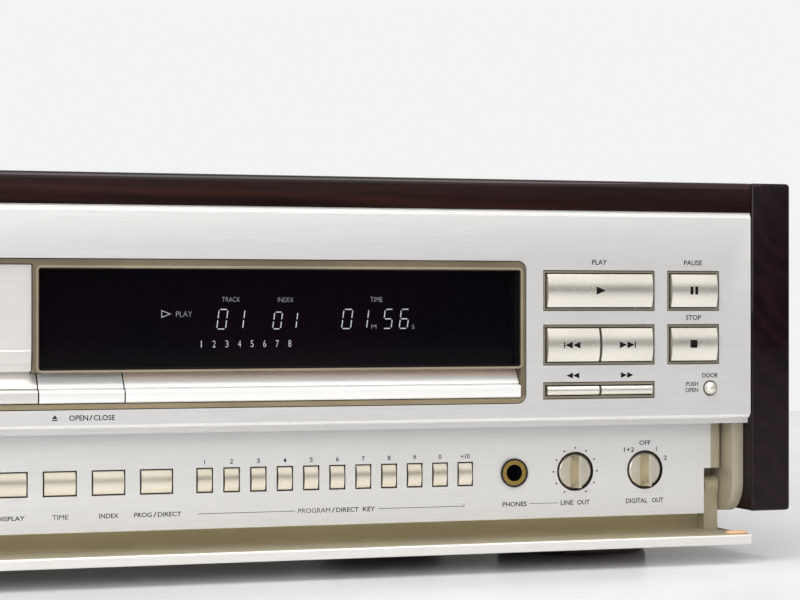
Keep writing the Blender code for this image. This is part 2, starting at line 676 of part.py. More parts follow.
def combine(target, tools, operation):
    """Give the target one Boolean for each tool."""
    for tool in tools:
        as_tool(tool)
        boolean = target.modifiers.new(tool.name, "BOOLEAN")
        boolean.operation = operation
        boolean.solver = "EXACT"
        boolean.object = tool
    return target


def cut(target, *tools):
    """Take the tools away from the target."""
    return combine(target, tools, "DIFFERENCE")


def join(target, *tools):
    """Add the tools to the target."""
    return combine(target, tools, "UNION")


def bevel(target, width, segments=1):
    """Break the target's sharp edges."""
    edge = target.modifiers.new("edge", "BEVEL")
    edge.width = width
    edge.segments = segments
    edge.limit_method = "ANGLE"
    edge.use_clamp_overlap = True
    return target


def put_origin(target, place):
    """Move an object's own origin without moving its shape."""
    target.data.transform(Matrix.Translation(-Vector(place)))
    target.location = place
    return target


def finish(target, look):
    """Give the piece its own material and smooth shading between its sharp edges."""
    colour, roughness, metallic = look
    material = bpy.data.materials.new(target.name)
    material.use_nodes = True
    shader = material.node_tree.nodes["Principled BSDF"]
    shader.inputs["Base Color"].default_value = (*colour, 1)
    shader.inputs["Roughness"].default_value = roughness
    shader.inputs["Metallic"].default_value = metallic
    material.diffuse_color = (*colour, 1)
    target.data.materials.append(material)
    target.data.shade_smooth()
    if target.data.polygons:
        target.data.set_sharp_from_angle(angle=math.radians(SHARP_ANGLE))
    return target


def build_base():
    """The bottom plate with two stiffening ribs pressed into it."""
    plate = box(
        "base_plate",
        (-PANEL_HALF, PANEL_HALF),
        (BASE_FRONT_Y, REAR_FACE_Y - REAR_THICK - FIT),
        (BASE_LOW_Z, BASE_TOP_Z),
    )
    for side in (-1, 1):
        middle = side * BASE_RIB_X
        groove = box(
            f"base_rib_{side}",
            (middle - BASE_RIB_WIDTH / 2, middle + BASE_RIB_WIDTH / 2),
            (BASE_FRONT_Y + BASE_RIB_MARGIN, REAR_FACE_Y - BASE_RIB_MARGIN),
            (BASE_LOW_Z - OVERRUN, BASE_LOW_Z + BASE_RIB),
        )
        cut(plate, groove)
    finish(plate, ZINC_STEEL)


def build_feet():
    """Four round feet with a narrower neck under the plate."""
    profile = [
        (0, FOOT_HEIGHT),
        (FOOT_RADIUS - FOOT_NECK, FOOT_HEIGHT),
        (FOOT_RADIUS - FOOT_NECK, FOOT_HEIGHT - FOOT_NECK),
        (FOOT_RADIUS, FOOT_HEIGHT - FOOT_NECK),
        (FOOT_RADIUS, FOOT_EDGE),
        (FOOT_RADIUS - FOOT_EDGE, 0),
        (0, 0),
    ]
    foot_x = PANEL_HALF - FOOT_INSET_X
    rows = {"front": FOOT_FRONT_Y, "rear": CASE_DEPTH - FOOT_REAR_INSET}
    for row, foot_y in rows.items():
        for side, sign in (("left", -1), ("right", 1)):
            foot = turned(f"foot_{row}_{side}", profile, (sign * foot_x, foot_y, 0))
            finish(foot, DARK_METAL)


def build_wood():
    """Rosewood sides and lid."""
    for side, sign in (("left", -1), ("right", 1)):
        spans = sorted((sign * SIDE_INNER_X, sign * (SIDE_INNER_X + SIDE_THICK)))
        board = box(f"wood_side_{side}", spans, (0, CASE_DEPTH), (SIDE_LIFT, TOP_Z))
        bevel(board, SIDE_EDGE, 3)
        finish(board, ROSEWOOD)
    outline = (
        [(CASE_DEPTH, LID_LOW_Z), (CASE_DEPTH, TOP_Z)]
        + arc(LID_ROUND, TOP_Z - LID_ROUND, LID_ROUND, RIGHT_ANGLE, HALF_TURN)
        + [(0, LID_LOW_Z)]
    )
    lid = prism("wood_lid", outline, "X", -PANEL_HALF, PANEL_HALF)
    finish(lid, ROSEWOOD)


def vent_slots():
    """Cutters for a row of upright vents, high on the rear panel's left."""
    slots = []
    for i in range(VENT_COUNT):
        middle = TRANSFORMER_X + (i - (VENT_COUNT - 1) / 2) * VENT_PITCH
        slots.append(
            box(
                f"vent_{i}",
                (middle - VENT_WIDTH / 2, middle + VENT_WIDTH / 2),
                (REAR_FACE_Y - REAR_THICK - OVERRUN, REAR_FACE_Y + OVERRUN),
                (PANEL_TOP_Z - VENT_TOP_MARGIN - VENT_HEIGHT, PANEL_TOP_Z - VENT_TOP_MARGIN),
            )
        )
    return slots


def socket_places():
    """Centre (x, z) of each round output socket, two rows deep."""
    left = SOCKET_BOARD_X + SOCKET_INSET
    low = SOCKET_BOARD_Z + SOCKET_BOARD_HEIGHT / 2 - SOCKET_PITCH_Z / 2
    columns = [left + i * SOCKET_PITCH_X for i in range(SOCKET_COLUMNS)]
    return [(x, low + row * SOCKET_PITCH_Z) for x in columns for row in (0, 1)]


def optical_place():
    """Centre (x, z) of the square optical output."""
    x = SOCKET_BOARD_X + SOCKET_INSET + SOCKET_COLUMNS * SOCKET_PITCH_X
    return x, SOCKET_BOARD_Z + SOCKET_BOARD_HEIGHT / 2


def build_rear():
    """Rear plate with vents and the holes that its sockets stand in."""
    y_span = (REAR_FACE_Y - REAR_THICK, REAR_FACE_Y)
    through = (y_span[0] - OVERRUN, y_span[1] + OVERRUN)
    plate = box("rear_panel", (-PANEL_HALF, PANEL_HALF), y_span, (INSIDE_LOW_Z, PANEL_TOP_Z))
    cut(plate, *vent_slots())
    for i, place in enumerate(socket_places()):
        cut(plate, rod(f"socket_hole_{i}", "Y", place, SOCKET_RADIUS + FIT, *through, steps=SMALL_STEPS))
    x, z = optical_place()
    half_width = OPTICAL_WIDTH / 2 + FIT
    half_height = OPTICAL_HEIGHT / 2 + FIT
    cut(plate, box("optical_hole", (x - half_width, x + half_width), through, (z - half_height, z + half_height)))
    half_width = INLET_WIDTH / 2 + FIT
    half_height = INLET_HEIGHT / 2 + FIT
    cut(
        plate,
        box(
            "inlet_hole",
            (INLET_X - half_width, INLET_X + half_width),
            through,
            (INLET_Z - half_height, INLET_Z + half_height),
        ),
    )
    finish(plate, DARK_METAL)


def recesses():
    """Each recess of the upper panel as (left, right, low, high)."""
    wide = (WIDE_RECESS_X, WIDE_RECESS_X + WIDE_RECESS_WIDTH)
    square = (SQUARE_RECESS_X, SQUARE_RECESS_X + SQUARE_RECESS_WIDTH)
    upper = (UPPER_ROW_Z, UPPER_ROW_Z + ROW_HEIGHT)
    middle = (MIDDLE_ROW_Z, MIDDLE_ROW_Z + ROW_HEIGHT)
    return {
        "play": (*wide, *upper),
        "pause": (*square, *upper),
        "skip": (*wide, *middle),
        "stop": (*square, *middle),
        "search": (*wide, SEARCH_ROW_Z, SEARCH_ROW_Z + SEARCH_HEIGHT),
    }


def power_recess():
    """The power button's own recess as (left, right, low, high)."""
    half = POWER_WIDTH / 2
    return POWER_X - half, POWER_X + half, MIDDLE_ROW_Z, MIDDLE_ROW_Z + ROW_HEIGHT


def build_front_panel():
    """Thick aluminium panel with a chamfered top, a stepped lip and all its recesses."""
    step_z = LIP_Z + LIP_RISE
    outline = (
        [
            (PANEL_THICK, LIP_Z),
            (PANEL_THICK, PANEL_TOP_Z),
            (PANEL_CHAMFER_DEPTH, PANEL_TOP_Z),
            (0, PANEL_TOP_Z - PANEL_CHAMFER_RISE),
        ]
        + arc(LIP_BACK, step_z + LIP_COVE, LIP_COVE, HALF_TURN, HALF_TURN + RIGHT_ANGLE)
        + [(LIP_BACK, LIP_Z)]
    )
    outline.insert(4, (0, step_z + LIP_COVE))
    panel = prism("front_panel", outline, "X", -PANEL_HALF, PANEL_HALF)
    through = (-OVERRUN, PANEL_THICK + OVERRUN)
    window = rectangle(WINDOW_LEFT_X, WINDOW_RIGHT_X, WINDOW_LOW_Z, WINDOW_TOP_Z, WINDOW_CORNER)
    cut(panel, prism("window_hole", window, "Y", *through))
    for name, (left, right, low, high) in {**recesses(), "power": power_recess()}.items():
        cut(panel, box(f"{name}_hole", (left, right), through, (low, high)))
    place = (DOOR_BUTTON_X, DOOR_BUTTON_Z)
    cut(panel, rod("door_button_hole", "Y", place, DOOR_BUTTON_RADIUS + BUTTON_GAP, *through, steps=SMALL_STEPS))
    finish(panel, ALUMINIUM)


def build_window_frame():
    """Moulded lining of the window, with a mullion, a sill and a ledge under the glass."""
    outline = rectangle(
        WINDOW_LEFT_X + FIT,
        WINDOW_RIGHT_X - FIT,
        WINDOW_LOW_Z + FIT,
        WINDOW_TOP_Z - FIT,
        WINDOW_CORNER - FIT,
    )
    lining = prism("window_frame", outline, "Y", LINING_SETBACK, PANEL_THICK)
    through = (-OVERRUN, PANEL_THICK + OVERRUN)
    cut(
        lining,
        box("tray_door_hole", (HOLE_LEFT_X, MULLION_LEFT_X), through, (SILL_Z, DOOR_HOLE_TOP_Z)),
        box("glass_hole", (MULLION_RIGHT_X, HOLE_RIGHT_X), through, (LEDGE_TOP_Z, GLASS_HOLE_TOP_Z)),
        box(
            "bar_channel",
            (HOLE_LEFT_X, HOLE_RIGHT_X),
            (-OVERRUN, BAR_CHANNEL_BACK),
            (SILL_Z, LEDGE_LOW_Z),
        ),
        box(
            "ledge_front",
            (MULLION_RIGHT_X, HOLE_RIGHT_X),
            (-OVERRUN, LEDGE_FRONT),
            (LEDGE_LOW_Z - BITE, LEDGE_TOP_Z + BITE),
        ),
    )
    finish(lining, LINING)


def build_glass():
    """Dark glass over the display, with the display tube on its board behind it."""
    x_span = (MULLION_RIGHT_X + FIT, HOLE_RIGHT_X - FIT)
    z_span = (LEDGE_TOP_Z + FIT, GLASS_HOLE_TOP_Z - FIT)
    back = GLASS_SETBACK + GLASS_THICK
    glass = box("display_glass", x_span, (GLASS_SETBACK, back), z_span)
    finish(glass, BLACK_GLASS)
    board = box(
        "front_board",
        (x_span[0], PANEL_HALF - FRONT_BOARD_MARGIN),
        (FRONT_BOARD_Y, FRONT_BOARD_Y + BOARD_THICK),
        (WINDOW_LOW_Z - FIT, WINDOW_TOP_Z),
    )
    tube = box(
        "display_tube",
        (x_span[0] + TUBE_MARGIN, x_span[1] - TUBE_MARGIN),
        (back + FIT, FRONT_BOARD_Y + BITE),
        (z_span[0] + TUBE_MARGIN, z_span[1] - TUBE_MARGIN),
    )
    join(board, tube, *push_switches())
    finish(board, CIRCUIT)


def push_switches():
    """A small switch on the front board behind each transport button."""
    places = {"door": (DOOR_BUTTON_X, DOOR_BUTTON_Z)}
    for name, (left, right, low, high) in recesses().items():
        middle = (left + right) / 2
        height = (low + high) / 2
        if name in ("skip", "search"):
            places[f"{name}_left"] = ((left + middle) / 2, height)
            places[f"{name}_right"] = ((right + middle) / 2, height)
        else:
            places[name] = (middle, height)
    front = SWITCH_FRONT_Y
    return [
        rod(f"{name}_switch", "Y", place, SWITCH_RADIUS, front, FRONT_BOARD_Y + BITE, steps=SMALL_STEPS)
        for name, place in places.items()
    ]


def bar_outline(back_y):
    """Section (y, z) of the bar: a sloped top, a fine groove and a rounded nose."""
    nose_top = BAR_LOW_Z + BAR_NOSE_HEIGHT
    return (
        [
            (back_y, BAR_LOW_Z),
            (back_y, BAR_TOP_Z),
            (BAR_SLOPE_BACK, BAR_TOP_Z),
            (BAR_SLOPE_FRONT, nose_top + BAR_GROOVE),
            (BAR_SLOPE_FRONT + BAR_GROOVE, nose_top + BAR_GROOVE / 2),
            (BAR_SLOPE_FRONT, nose_top),
        ]
        + arc(BAR_NOSE_Y + BAR_ROUND, nose_top - BAR_ROUND, BAR_ROUND, RIGHT_ANGLE, HALF_TURN)
        + arc(BAR_NOSE_Y + BAR_ROUND, BAR_LOW_Z + BAR_ROUND, BAR_ROUND, HALF_TURN, HALF_TURN + RIGHT_ANGLE)
    )


def build_bar():
    """The fixed bar under the display and the open and close button that is a piece of it."""
    back = BAR_CHANNEL_BACK - FIT
    bar = prism("window_bar", bar_outline(back), "X", EJECT_RIGHT_X + EJECT_GAP, HOLE_RIGHT_X - FIT)
    finish(bar, ALUMINIUM)
    button = prism("open_close_button", bar_outline(EJECT_BACK_Y), "X", EJECT_LEFT_X, EJECT_RIGHT_X)
    put_origin(button, ((EJECT_LEFT_X + EJECT_RIGHT_X) / 2, BAR_NOSE_Y, (BAR_LOW_Z + BAR_TOP_Z) / 2))
    finish(button, ALUMINIUM)


def button_holes():
    """The hole inside each rim of the bezel as (left, right, low, high)."""
    holes = {}
    for name, (left, right, low, high) in recesses().items():
        rim = FIT + BEZEL_RIM
        rim_z = FIT + SEARCH_RIM if name == "search" else rim
        holes[name] = (left + rim, right - rim, low + rim_z, high - rim_z)
    return holes


def build_bezel():
    """One moulding behind the panel whose rims line the button recesses."""
    lefts, rights, lows, highs = zip(*recesses().values())
    back = PANEL_THICK + FIT
    plate = box(
        "transport_bezel",
        (min(lefts) - BEZEL_MARGIN, max(rights) + BEZEL_MARGIN),
        (back, back + BEZEL_THICK),
        (min(lows) - BEZEL_MARGIN, max(highs) + BEZEL_MARGIN),
    )
    for name, (left, right, low, high) in recesses().items():
        rim = box(
            f"{name}_rim",
            (left + FIT, right - FIT),
            (BEZEL_SETBACK, back + BITE),
            (low + FIT, high - FIT),
        )
        join(plate, rim)
    through = (-OVERRUN, back + BEZEL_THICK + OVERRUN)
    for name, (left, right, low, high) in button_holes().items():
        cut(plate, box(f"{name}_bezel_hole", (left, right), through, (low, high)))
    place = (DOOR_BUTTON_X, DOOR_BUTTON_Z)
    cut(plate, rod("door_bezel_hole", "Y", place, DOOR_BUTTON_RADIUS + BUTTON_GAP, *through, steps=SMALL_STEPS))
    finish(plate, LINING)


def crowned(face_y, crown, back_y, low, high):
    """Section (y, z) of a button whose face bulges forward by the crown."""
    half = (high - low) / 2
    radius = (half * half + crown * crown) / (2 * crown)
    reach = math.degrees(math.asin(half / radius))
    centre_y = face_y - crown + radius
    return arc(centre_y, low + half, radius, HALF_TURN - reach, HALF_TURN + reach, 2 * ARC_STEPS) + [
        (back_y, low),
        (back_y, high),
    ]


def push_button(name, x_span, z_span, face_y, crown, back_y, look):
    """A crowned button whose origin is at the middle of its face."""
    outline = crowned(face_y, crown, back_y, *z_span)
    button = prism(name, outline, "X", *x_span)
    put_origin(button, (sum(x_span) / 2, face_y, sum(z_span) / 2))
    return finish(button, look)


def build_transport_buttons():
    """The buttons in the bezel, the search pair, the flap's release and the power button."""
    holes = button_holes()
    plain = {"play_button": "play", "pause_button": "pause", "stop_button": "stop"}
    pairs = {
        "skip": ("previous_button", "next_button", BUTTON_CROWN),
        "search": ("search_back_button", "search_forward_button", SEARCH_CROWN),
    }
    for name, hole in plain.items():
        left, right, low, high = holes[hole]
        span = (left + BUTTON_GAP, right - BUTTON_GAP)
        rise = (low + BUTTON_GAP, high - BUTTON_GAP)
        push_button(name, span, rise, -BUTTON_PROUD, BUTTON_CROWN, BUTTON_BACK_Y, CHAMPAGNE)
    for hole, (first, second, crown) in pairs.items():
        left, right, low, high = holes[hole]
        middle = (left + right) / 2
        rise = (low + BUTTON_GAP, high - BUTTON_GAP)
        first_span = (left + BUTTON_GAP, middle - SPLIT_GAP / 2)
        second_span = (middle + SPLIT_GAP / 2, right - BUTTON_GAP)
        push_button(first, first_span, rise, -BUTTON_PROUD, crown, BUTTON_BACK_Y, CHAMPAGNE)
        push_button(second, second_span, rise, -BUTTON_PROUD, crown, BUTTON_BACK_Y, CHAMPAGNE)
    left, right, low, high = power_recess()
    span = (left + BUTTON_GAP, right - BUTTON_GAP)
    rise = (low + BUTTON_GAP, high - BUTTON_GAP)
    push_button("power_button", span, rise, -BUTTON_PROUD, BUTTON_CROWN, BUTTON_BACK_Y, CHAMPAGNE)
    build_release_button()


def build_release_button():
    """The small domed button that releases the flap."""
    dome = DOOR_BUTTON_REACH
    radius = DOOR_BUTTON_RADIUS
    profile = [(0, dome)]
    for i in range(1, ARC_STEPS + 1):
        turn = math.pi / 2 * i / ARC_STEPS
        profile.append((radius * math.sin(turn), dome * math.cos(turn)))
    profile += [(radius, -BUTTON_BACK_Y), (0, -BUTTON_BACK_Y)]
    place = (DOOR_BUTTON_X, 0, DOOR_BUTTON_Z)
    finish(turned("door_button", profile, place, forward=True, steps=SMALL_STEPS), CHAMPAGNE)


def function_keys():
    """Name and centre of each wide key, from left to right."""
    names = ("repeat_key", "display_key", "time_key", "index_key", "program_key")
    return {name: FUNCTION_KEY_X + i * FUNCTION_KEY_PITCH for i, name in enumerate(names)}


def number_keys():
    """Name and centre of each number key, from left to right."""
    numbers = [*range(1, 10), 0, 10]
    return {f"number_key_{n}": NUMBER_KEY_X + i * NUMBER_KEY_PITCH for i, n in enumerate(numbers)}


def key_spans():
    """Name, left and right of every key in the row."""
    wide = {name: (x, FUNCTION_KEY_WIDTH / 2) for name, x in function_keys().items()}
    slim = {name: (x, NUMBER_KEY_WIDTH / 2) for name, x in number_keys().items()}
    return {name: (x - half, x + half) for name, (x, half) in {**wide, **slim}.items()}


def key_rise(gap=0.0):
    """Low and high of the key row, widened by a gap."""
    return KEY_ROW_Z - KEY_HEIGHT / 2 - gap, KEY_ROW_Z + KEY_HEIGHT / 2 + gap


def build_key_panel():
    """The brushed plate behind the flap, notched at both ends for the flap's arms."""
    outline = [
        (-NOTCH_X, KEY_LOW_Z),
        (NOTCH_X, KEY_LOW_Z),
        (NOTCH_X, NOTCH_TOP_Z),
        (KEY_PLATE_HALF, NOTCH_TOP_Z),
        (KEY_PLATE_HALF, KEY_TOP_Z),
        (-KEY_PLATE_HALF, KEY_TOP_Z),
        (-KEY_PLATE_HALF, NOTCH_TOP_Z),
        (-NOTCH_X, NOTCH_TOP_Z),
    ]
    holes = [rectangle(left - KEY_GAP, right + KEY_GAP, *key_rise(KEY_GAP)) for left, right in key_spans().values()]
    holes.append(ring((JACK_X, KEY_ROW_Z), JACK_BARREL_RADIUS + FIT))
    holes += [ring((x, KEY_ROW_Z), KNOB_WELL_RADIUS) for x in (LINE_KNOB_X, DIGITAL_KNOB_X)]
    back = KEY_FACE_Y + KEY_PLATE_THICK
    finish(prism("key_panel", outline, "Y", KEY_FACE_Y, back, holes), ALUMINIUM)


def build_keys():
    """Every key of the row, wide ones first."""
    face = KEY_FACE_Y + KEY_CROWN - KEY_PROUD
    for name, span in key_spans().items():
        push_button(name, span, key_rise(), face, KEY_CROWN, KEY_BACK_Y, CHAMPAGNE)


def cheek(sign):
    """The moulded end cheek whose front corner is rounded for the flap's swing."""
    outline = (
        [(FRAME_BACK_Y, CHEEK_LOW_Z), (FRAME_BACK_Y, KEY_TOP_Z), (CHEEK_FACE_Y, KEY_TOP_Z)]
        + arc(CHEEK_FACE_Y + CHEEK_ROUND, CHEEK_LOW_Z + CHEEK_ROUND, CHEEK_ROUND, HALF_TURN, HALF_TURN + RIGHT_ANGLE, 2 * ARC_STEPS)
    )
    span = sorted((sign * CHEEK_INNER_X, sign * PANEL_HALF))
    return prism(f"cheek_{sign}", outline, "X", *span)


def frame_end(sign):
    """The rounded end strip beside the key plate, above the arm's notch."""
    inner = KEY_PLATE_HALF + FIT
    outline = (
        [(inner, KEY_FACE_Y + KEY_PLATE_THICK + OVERRUN), (inner, FRAME_END_FACE_Y)]
        + [
            (x, y)
            for x, y in arc(FRAME_END_X - FRAME_END_ROUND, FRAME_END_FACE_Y + FRAME_END_ROUND, FRAME_END_ROUND, -RIGHT_ANGLE, 0)
        ]
        + [(FRAME_END_X, KEY_FACE_Y + KEY_PLATE_THICK + OVERRUN)]
    )
    outline = [(sign * x, y) for x, y in outline]
    return prism(f"frame_end_{sign}", outline, "Z", NOTCH_TOP_Z, KEY_TOP_Z)


def build_front_frame():
    """Moulded frame behind the key plate: pockets for keys and knobs, arm pockets and two cheeks."""
    front = KEY_FACE_Y + KEY_PLATE_THICK + FIT
    frame = box("front_frame", (-FRAME_END_X, FRAME_END_X), (front, FRAME_BACK_Y), (KEY_LOW_Z, KEY_TOP_Z))
    for sign in (-1, 1):
        pocket_x = sorted((sign * (NOTCH_X - FIT), sign * (FRAME_END_X + OVERRUN)))
        pocket = box(
            f"arm_pocket_{sign}",
            pocket_x,
            (front - OVERRUN, POCKET_BACK_Y),
            (KEY_LOW_Z - OVERRUN, NOTCH_TOP_Z),
        )
        trim = box(
            f"pocket_trim_{sign}",
            pocket_x,
            (POCKET_BACK_Y - OVERRUN, FRAME_BACK_Y + OVERRUN),
            (KEY_LOW_Z - OVERRUN, CHEEK_LOW_Z),
        )
        bridge = box(
            f"cheek_bridge_{sign}",
            sorted((sign * (FRAME_END_X - BITE), sign * (CHEEK_INNER_X + BITE))),
            (POCKET_BACK_Y, FRAME_BACK_Y),
            (CHEEK_LOW_Z, KEY_TOP_Z),
        )
        cut(frame, pocket, trim)
        join(frame, frame_end(sign), bridge, cheek(sign))
        pin_span = sorted((sign * (CHEEK_INNER_X - OVERRUN), sign * (ARM_X + ARM_WIDTH / 2 + PIN_LENGTH + FIT)))
        place = (PIVOT_Y, PIVOT_Z)
        cut(frame, rod(f"pin_hole_{sign}", "X", place, PIN_RADIUS + PIN_GAP, *pin_span, steps=SMALL_STEPS))
    for name, (left, right) in key_spans().items():
        pocket = (left - KEY_GAP, right + KEY_GAP)
        cut(frame, box(f"{name}_pocket", pocket, (front - OVERRUN, KEY_POCKET_BACK), key_rise(KEY_GAP)))
    through = (front - OVERRUN, FRAME_BACK_Y + OVERRUN)
    cut(frame, rod("jack_frame_hole", "Y", (JACK_X, KEY_ROW_Z), JACK_BARREL_RADIUS + FIT, *through))
    for name, x in (("line", LINE_KNOB_X), ("digital", DIGITAL_KNOB_X)):
        place = (x, KEY_ROW_Z)
        well = rod(f"{name}_well", "Y", place, KNOB_WELL_RADIUS, front - OVERRUN, KNOB_WELL_BACK)
        stem = rod(f"{name}_stem_hole", "Y", place, KNOB_STEM_RADIUS + KNOB_STEM_GAP, *through, steps=SMALL_STEPS)
        cut(frame, well, stem)
    finish(frame, BEIGE)


def build_jack():
    """Headphone jack: a raised rim, a gold ring inside it and a long barrel with a bore."""
    back = JACK_RIM_PROUD + FIT - JACK_LENGTH
    under_rim = FIT
    profile = [
        (0, back + JACK_WALL),
        (JACK_BORE_RADIUS, back + JACK_WALL),
        (JACK_BORE_RADIUS, JACK_RIM_PROUD - JACK_RING_DEPTH),
        (JACK_RING_RADIUS, JACK_RIM_PROUD - JACK_RING_DEPTH),
        (JACK_RING_RADIUS, JACK_RIM_PROUD),
        (JACK_RIM_RADIUS, JACK_RIM_PROUD),
        (JACK_RIM_RADIUS, under_rim),
        (JACK_BARREL_RADIUS, under_rim),
        (JACK_BARREL_RADIUS, back),
        (0, back),
    ]
    finish(turned("headphone_jack", profile, (JACK_X, KEY_FACE_Y, KEY_ROW_Z), forward=True), BLACK_PLASTIC)


def build_knob(name, x):
    """A disc with a faceted grip bar across its face, on a stem."""
    face = KNOB_FACE_PROUD
    back = KEY_FACE_Y - KNOB_BACK_Y
    stem_end = KEY_FACE_Y - KNOB_STEM_END_Y
    profile = [
        (0, face),
        (KNOB_RADIUS - BITE, face),
        (KNOB_RADIUS, face - BITE),
        (KNOB_RADIUS, back),
        (KNOB_STEM_RADIUS, back),
        (KNOB_STEM_RADIUS, stem_end),
        (0, stem_end),
    ]
    knob = turned(name, profile, (x, KEY_FACE_Y, KEY_ROW_Z), forward=True)
    grip_face = KEY_FACE_Y - KNOB_GRIP_REACH
    root = KEY_FACE_Y - face + BITE
    waist = KEY_FACE_Y - KNOB_GRIP_SHOULDER
    outline = [
        (x - KNOB_GRIP_WIDTH / 2, root),
        (x - KNOB_GRIP_WAIST / 2, waist),
        (x - KNOB_GRIP_TOP / 2, grip_face),
        (x + KNOB_GRIP_TOP / 2, grip_face),
        (x + KNOB_GRIP_WAIST / 2, waist),
        (x + KNOB_GRIP_WIDTH / 2, root),
    ]
    reach = KNOB_RADIUS - BITE
    grip = prism(f"{name}_grip", outline, "Z", KEY_ROW_Z - reach, KEY_ROW_Z + reach)
    join(knob, grip)
    finish(knob, CHAMPAGNE)


def flap_outline():
    """Section (y, z) of the closed flap about its pivot: a face plate and a return along its foot."""
    face = -PIVOT_Y
    inner = face + FLAP_THICK
    top = LIP_Z - FLAP_TOP_GAP - PIVOT_Z
    low = FLAP_LOW_Z - PIVOT_Z
    floor = low + FLAP_RETURN_THICK
    end = face + FLAP_RETURN
    return (
        [(inner - FLAP_EDGE, top), (face + FLAP_EDGE, top), (face, top - FLAP_EDGE)]
        + arc(face + FLAP_OUTER_ROUND, low + FLAP_OUTER_ROUND, FLAP_OUTER_ROUND, HALF_TURN, HALF_TURN + RIGHT_ANGLE)
        + [(end, low), (end, floor)]
        + arc(inner + FLAP_COVE, floor + FLAP_COVE, FLAP_COVE, HALF_TURN + RIGHT_ANGLE, HALF_TURN)
        + [(inner, top - FLAP_EDGE)]
    )


def arm_outline():
    """Section (y, z) of a flap arm about the pivot, with a round end."""
    root = FLAP_THICK - PIVOT_Y - BITE
    lean = math.degrees(math.asin(ARM_HALF_DEPTH / ARM_END_RADIUS))
    return [(root, -ARM_HALF_DEPTH)] + arc(0, 0, ARM_END_RADIUS, lean - HALF_TURN, HALF_TURN - lean, 2 * ARC_STEPS) + [
        (root, ARM_HALF_DEPTH)
    ]


def build_flap():
    """The flap with its two arms and pivot pins, turned down to its open place."""
    half = FLAP_WIDTH / 2
    flap = prism("door_flap", flap_outline(), "X", -half, half)
    tools = []
    for sign in (-1, 1):
        span = sorted((sign * (ARM_X - ARM_WIDTH / 2), sign * (ARM_X + ARM_WIDTH / 2)))
        tools.append(prism(f"flap_arm_{sign}", arm_outline(), "X", *span))
        end = ARM_X + ARM_WIDTH / 2
        pin_span = sorted((sign * (end - OVERRUN), sign * (end + PIN_LENGTH)))
        tools.append(rod(f"flap_pin_{sign}", "X", (0, 0), PIN_RADIUS, *pin_span, steps=SMALL_STEPS))
    join(flap, *tools)
    for piece in (flap, *tools):
        piece.location = (0, PIVOT_Y, PIVOT_Z)
        piece.rotation_euler.x = FLAP_OPEN_TURN
    finish(flap, ALUMINIUM)


def build_tray_door():
    """The tray's front: a flat plate whose foot carries on the bar's section."""
    panel = [
        (DOOR_BACK_Y, BAR_TOP_Z - BITE),
        (DOOR_BACK_Y, DOOR_HOLE_TOP_Z - FIT),
        (DOOR_SETBACK, DOOR_HOLE_TOP_Z - FIT),
        (DOOR_SETBACK, BAR_TOP_Z + DOOR_GROOVE + DOOR_FOOT_HEIGHT),
        (DOOR_FOOT_SETBACK, BAR_TOP_Z + DOOR_GROOVE),
        (BAR_SLOPE_BACK + BITE, BAR_TOP_Z + DOOR_GROOVE),
        (BAR_SLOPE_BACK + BITE, BAR_TOP_Z - BITE),
    ]
    left = HOLE_LEFT_X + FIT
    door = prism("tray_door", panel, "X", left, MULLION_LEFT_X - FIT)
    foot = prism("tray_door_foot", bar_outline(DOOR_BACK_Y), "X", left, EJECT_LEFT_X - EJECT_GAP)
    join(door, foot)
    finish(door, ALUMINIUM)


def rack_outline():
    """Section (x, y) of the rack: a back strip with straight-sided teeth that point to the gear."""
    pitch = math.pi * MODULE
    count = int((TRAY_FRONT_Y + TRAY_LENGTH - RACK_FRONT_Y) / pitch)
    first = GEAR_Y - math.floor((GEAR_Y - RACK_FRONT_Y) / pitch) * pitch
    tip_x = RACK_PITCH_X - RACK_ADDENDUM_SHARE * MODULE
    root_x = RACK_PITCH_X + DEDENDUM_SHARE * MODULE
    back_x = root_x + RACK_BACK
    half = (pitch / 2 - BACKLASH) / 2
    tip_half = half - RACK_ADDENDUM_SHARE * MODULE * math.tan(PRESSURE_ANGLE)
    root_half = half + DEDENDUM_SHARE * MODULE * math.tan(PRESSURE_ANGLE)
    points = []
    for i in range(count - 1):
        middle = first + i * pitch
        points += [
            (root_x, middle - root_half),
            (tip_x, middle - tip_half),
            (tip_x, middle + tip_half),
            (root_x, middle + root_half),
        ]
    last = points[-1][1]
    return points + [(back_x, last), (back_x, points[0][1])]


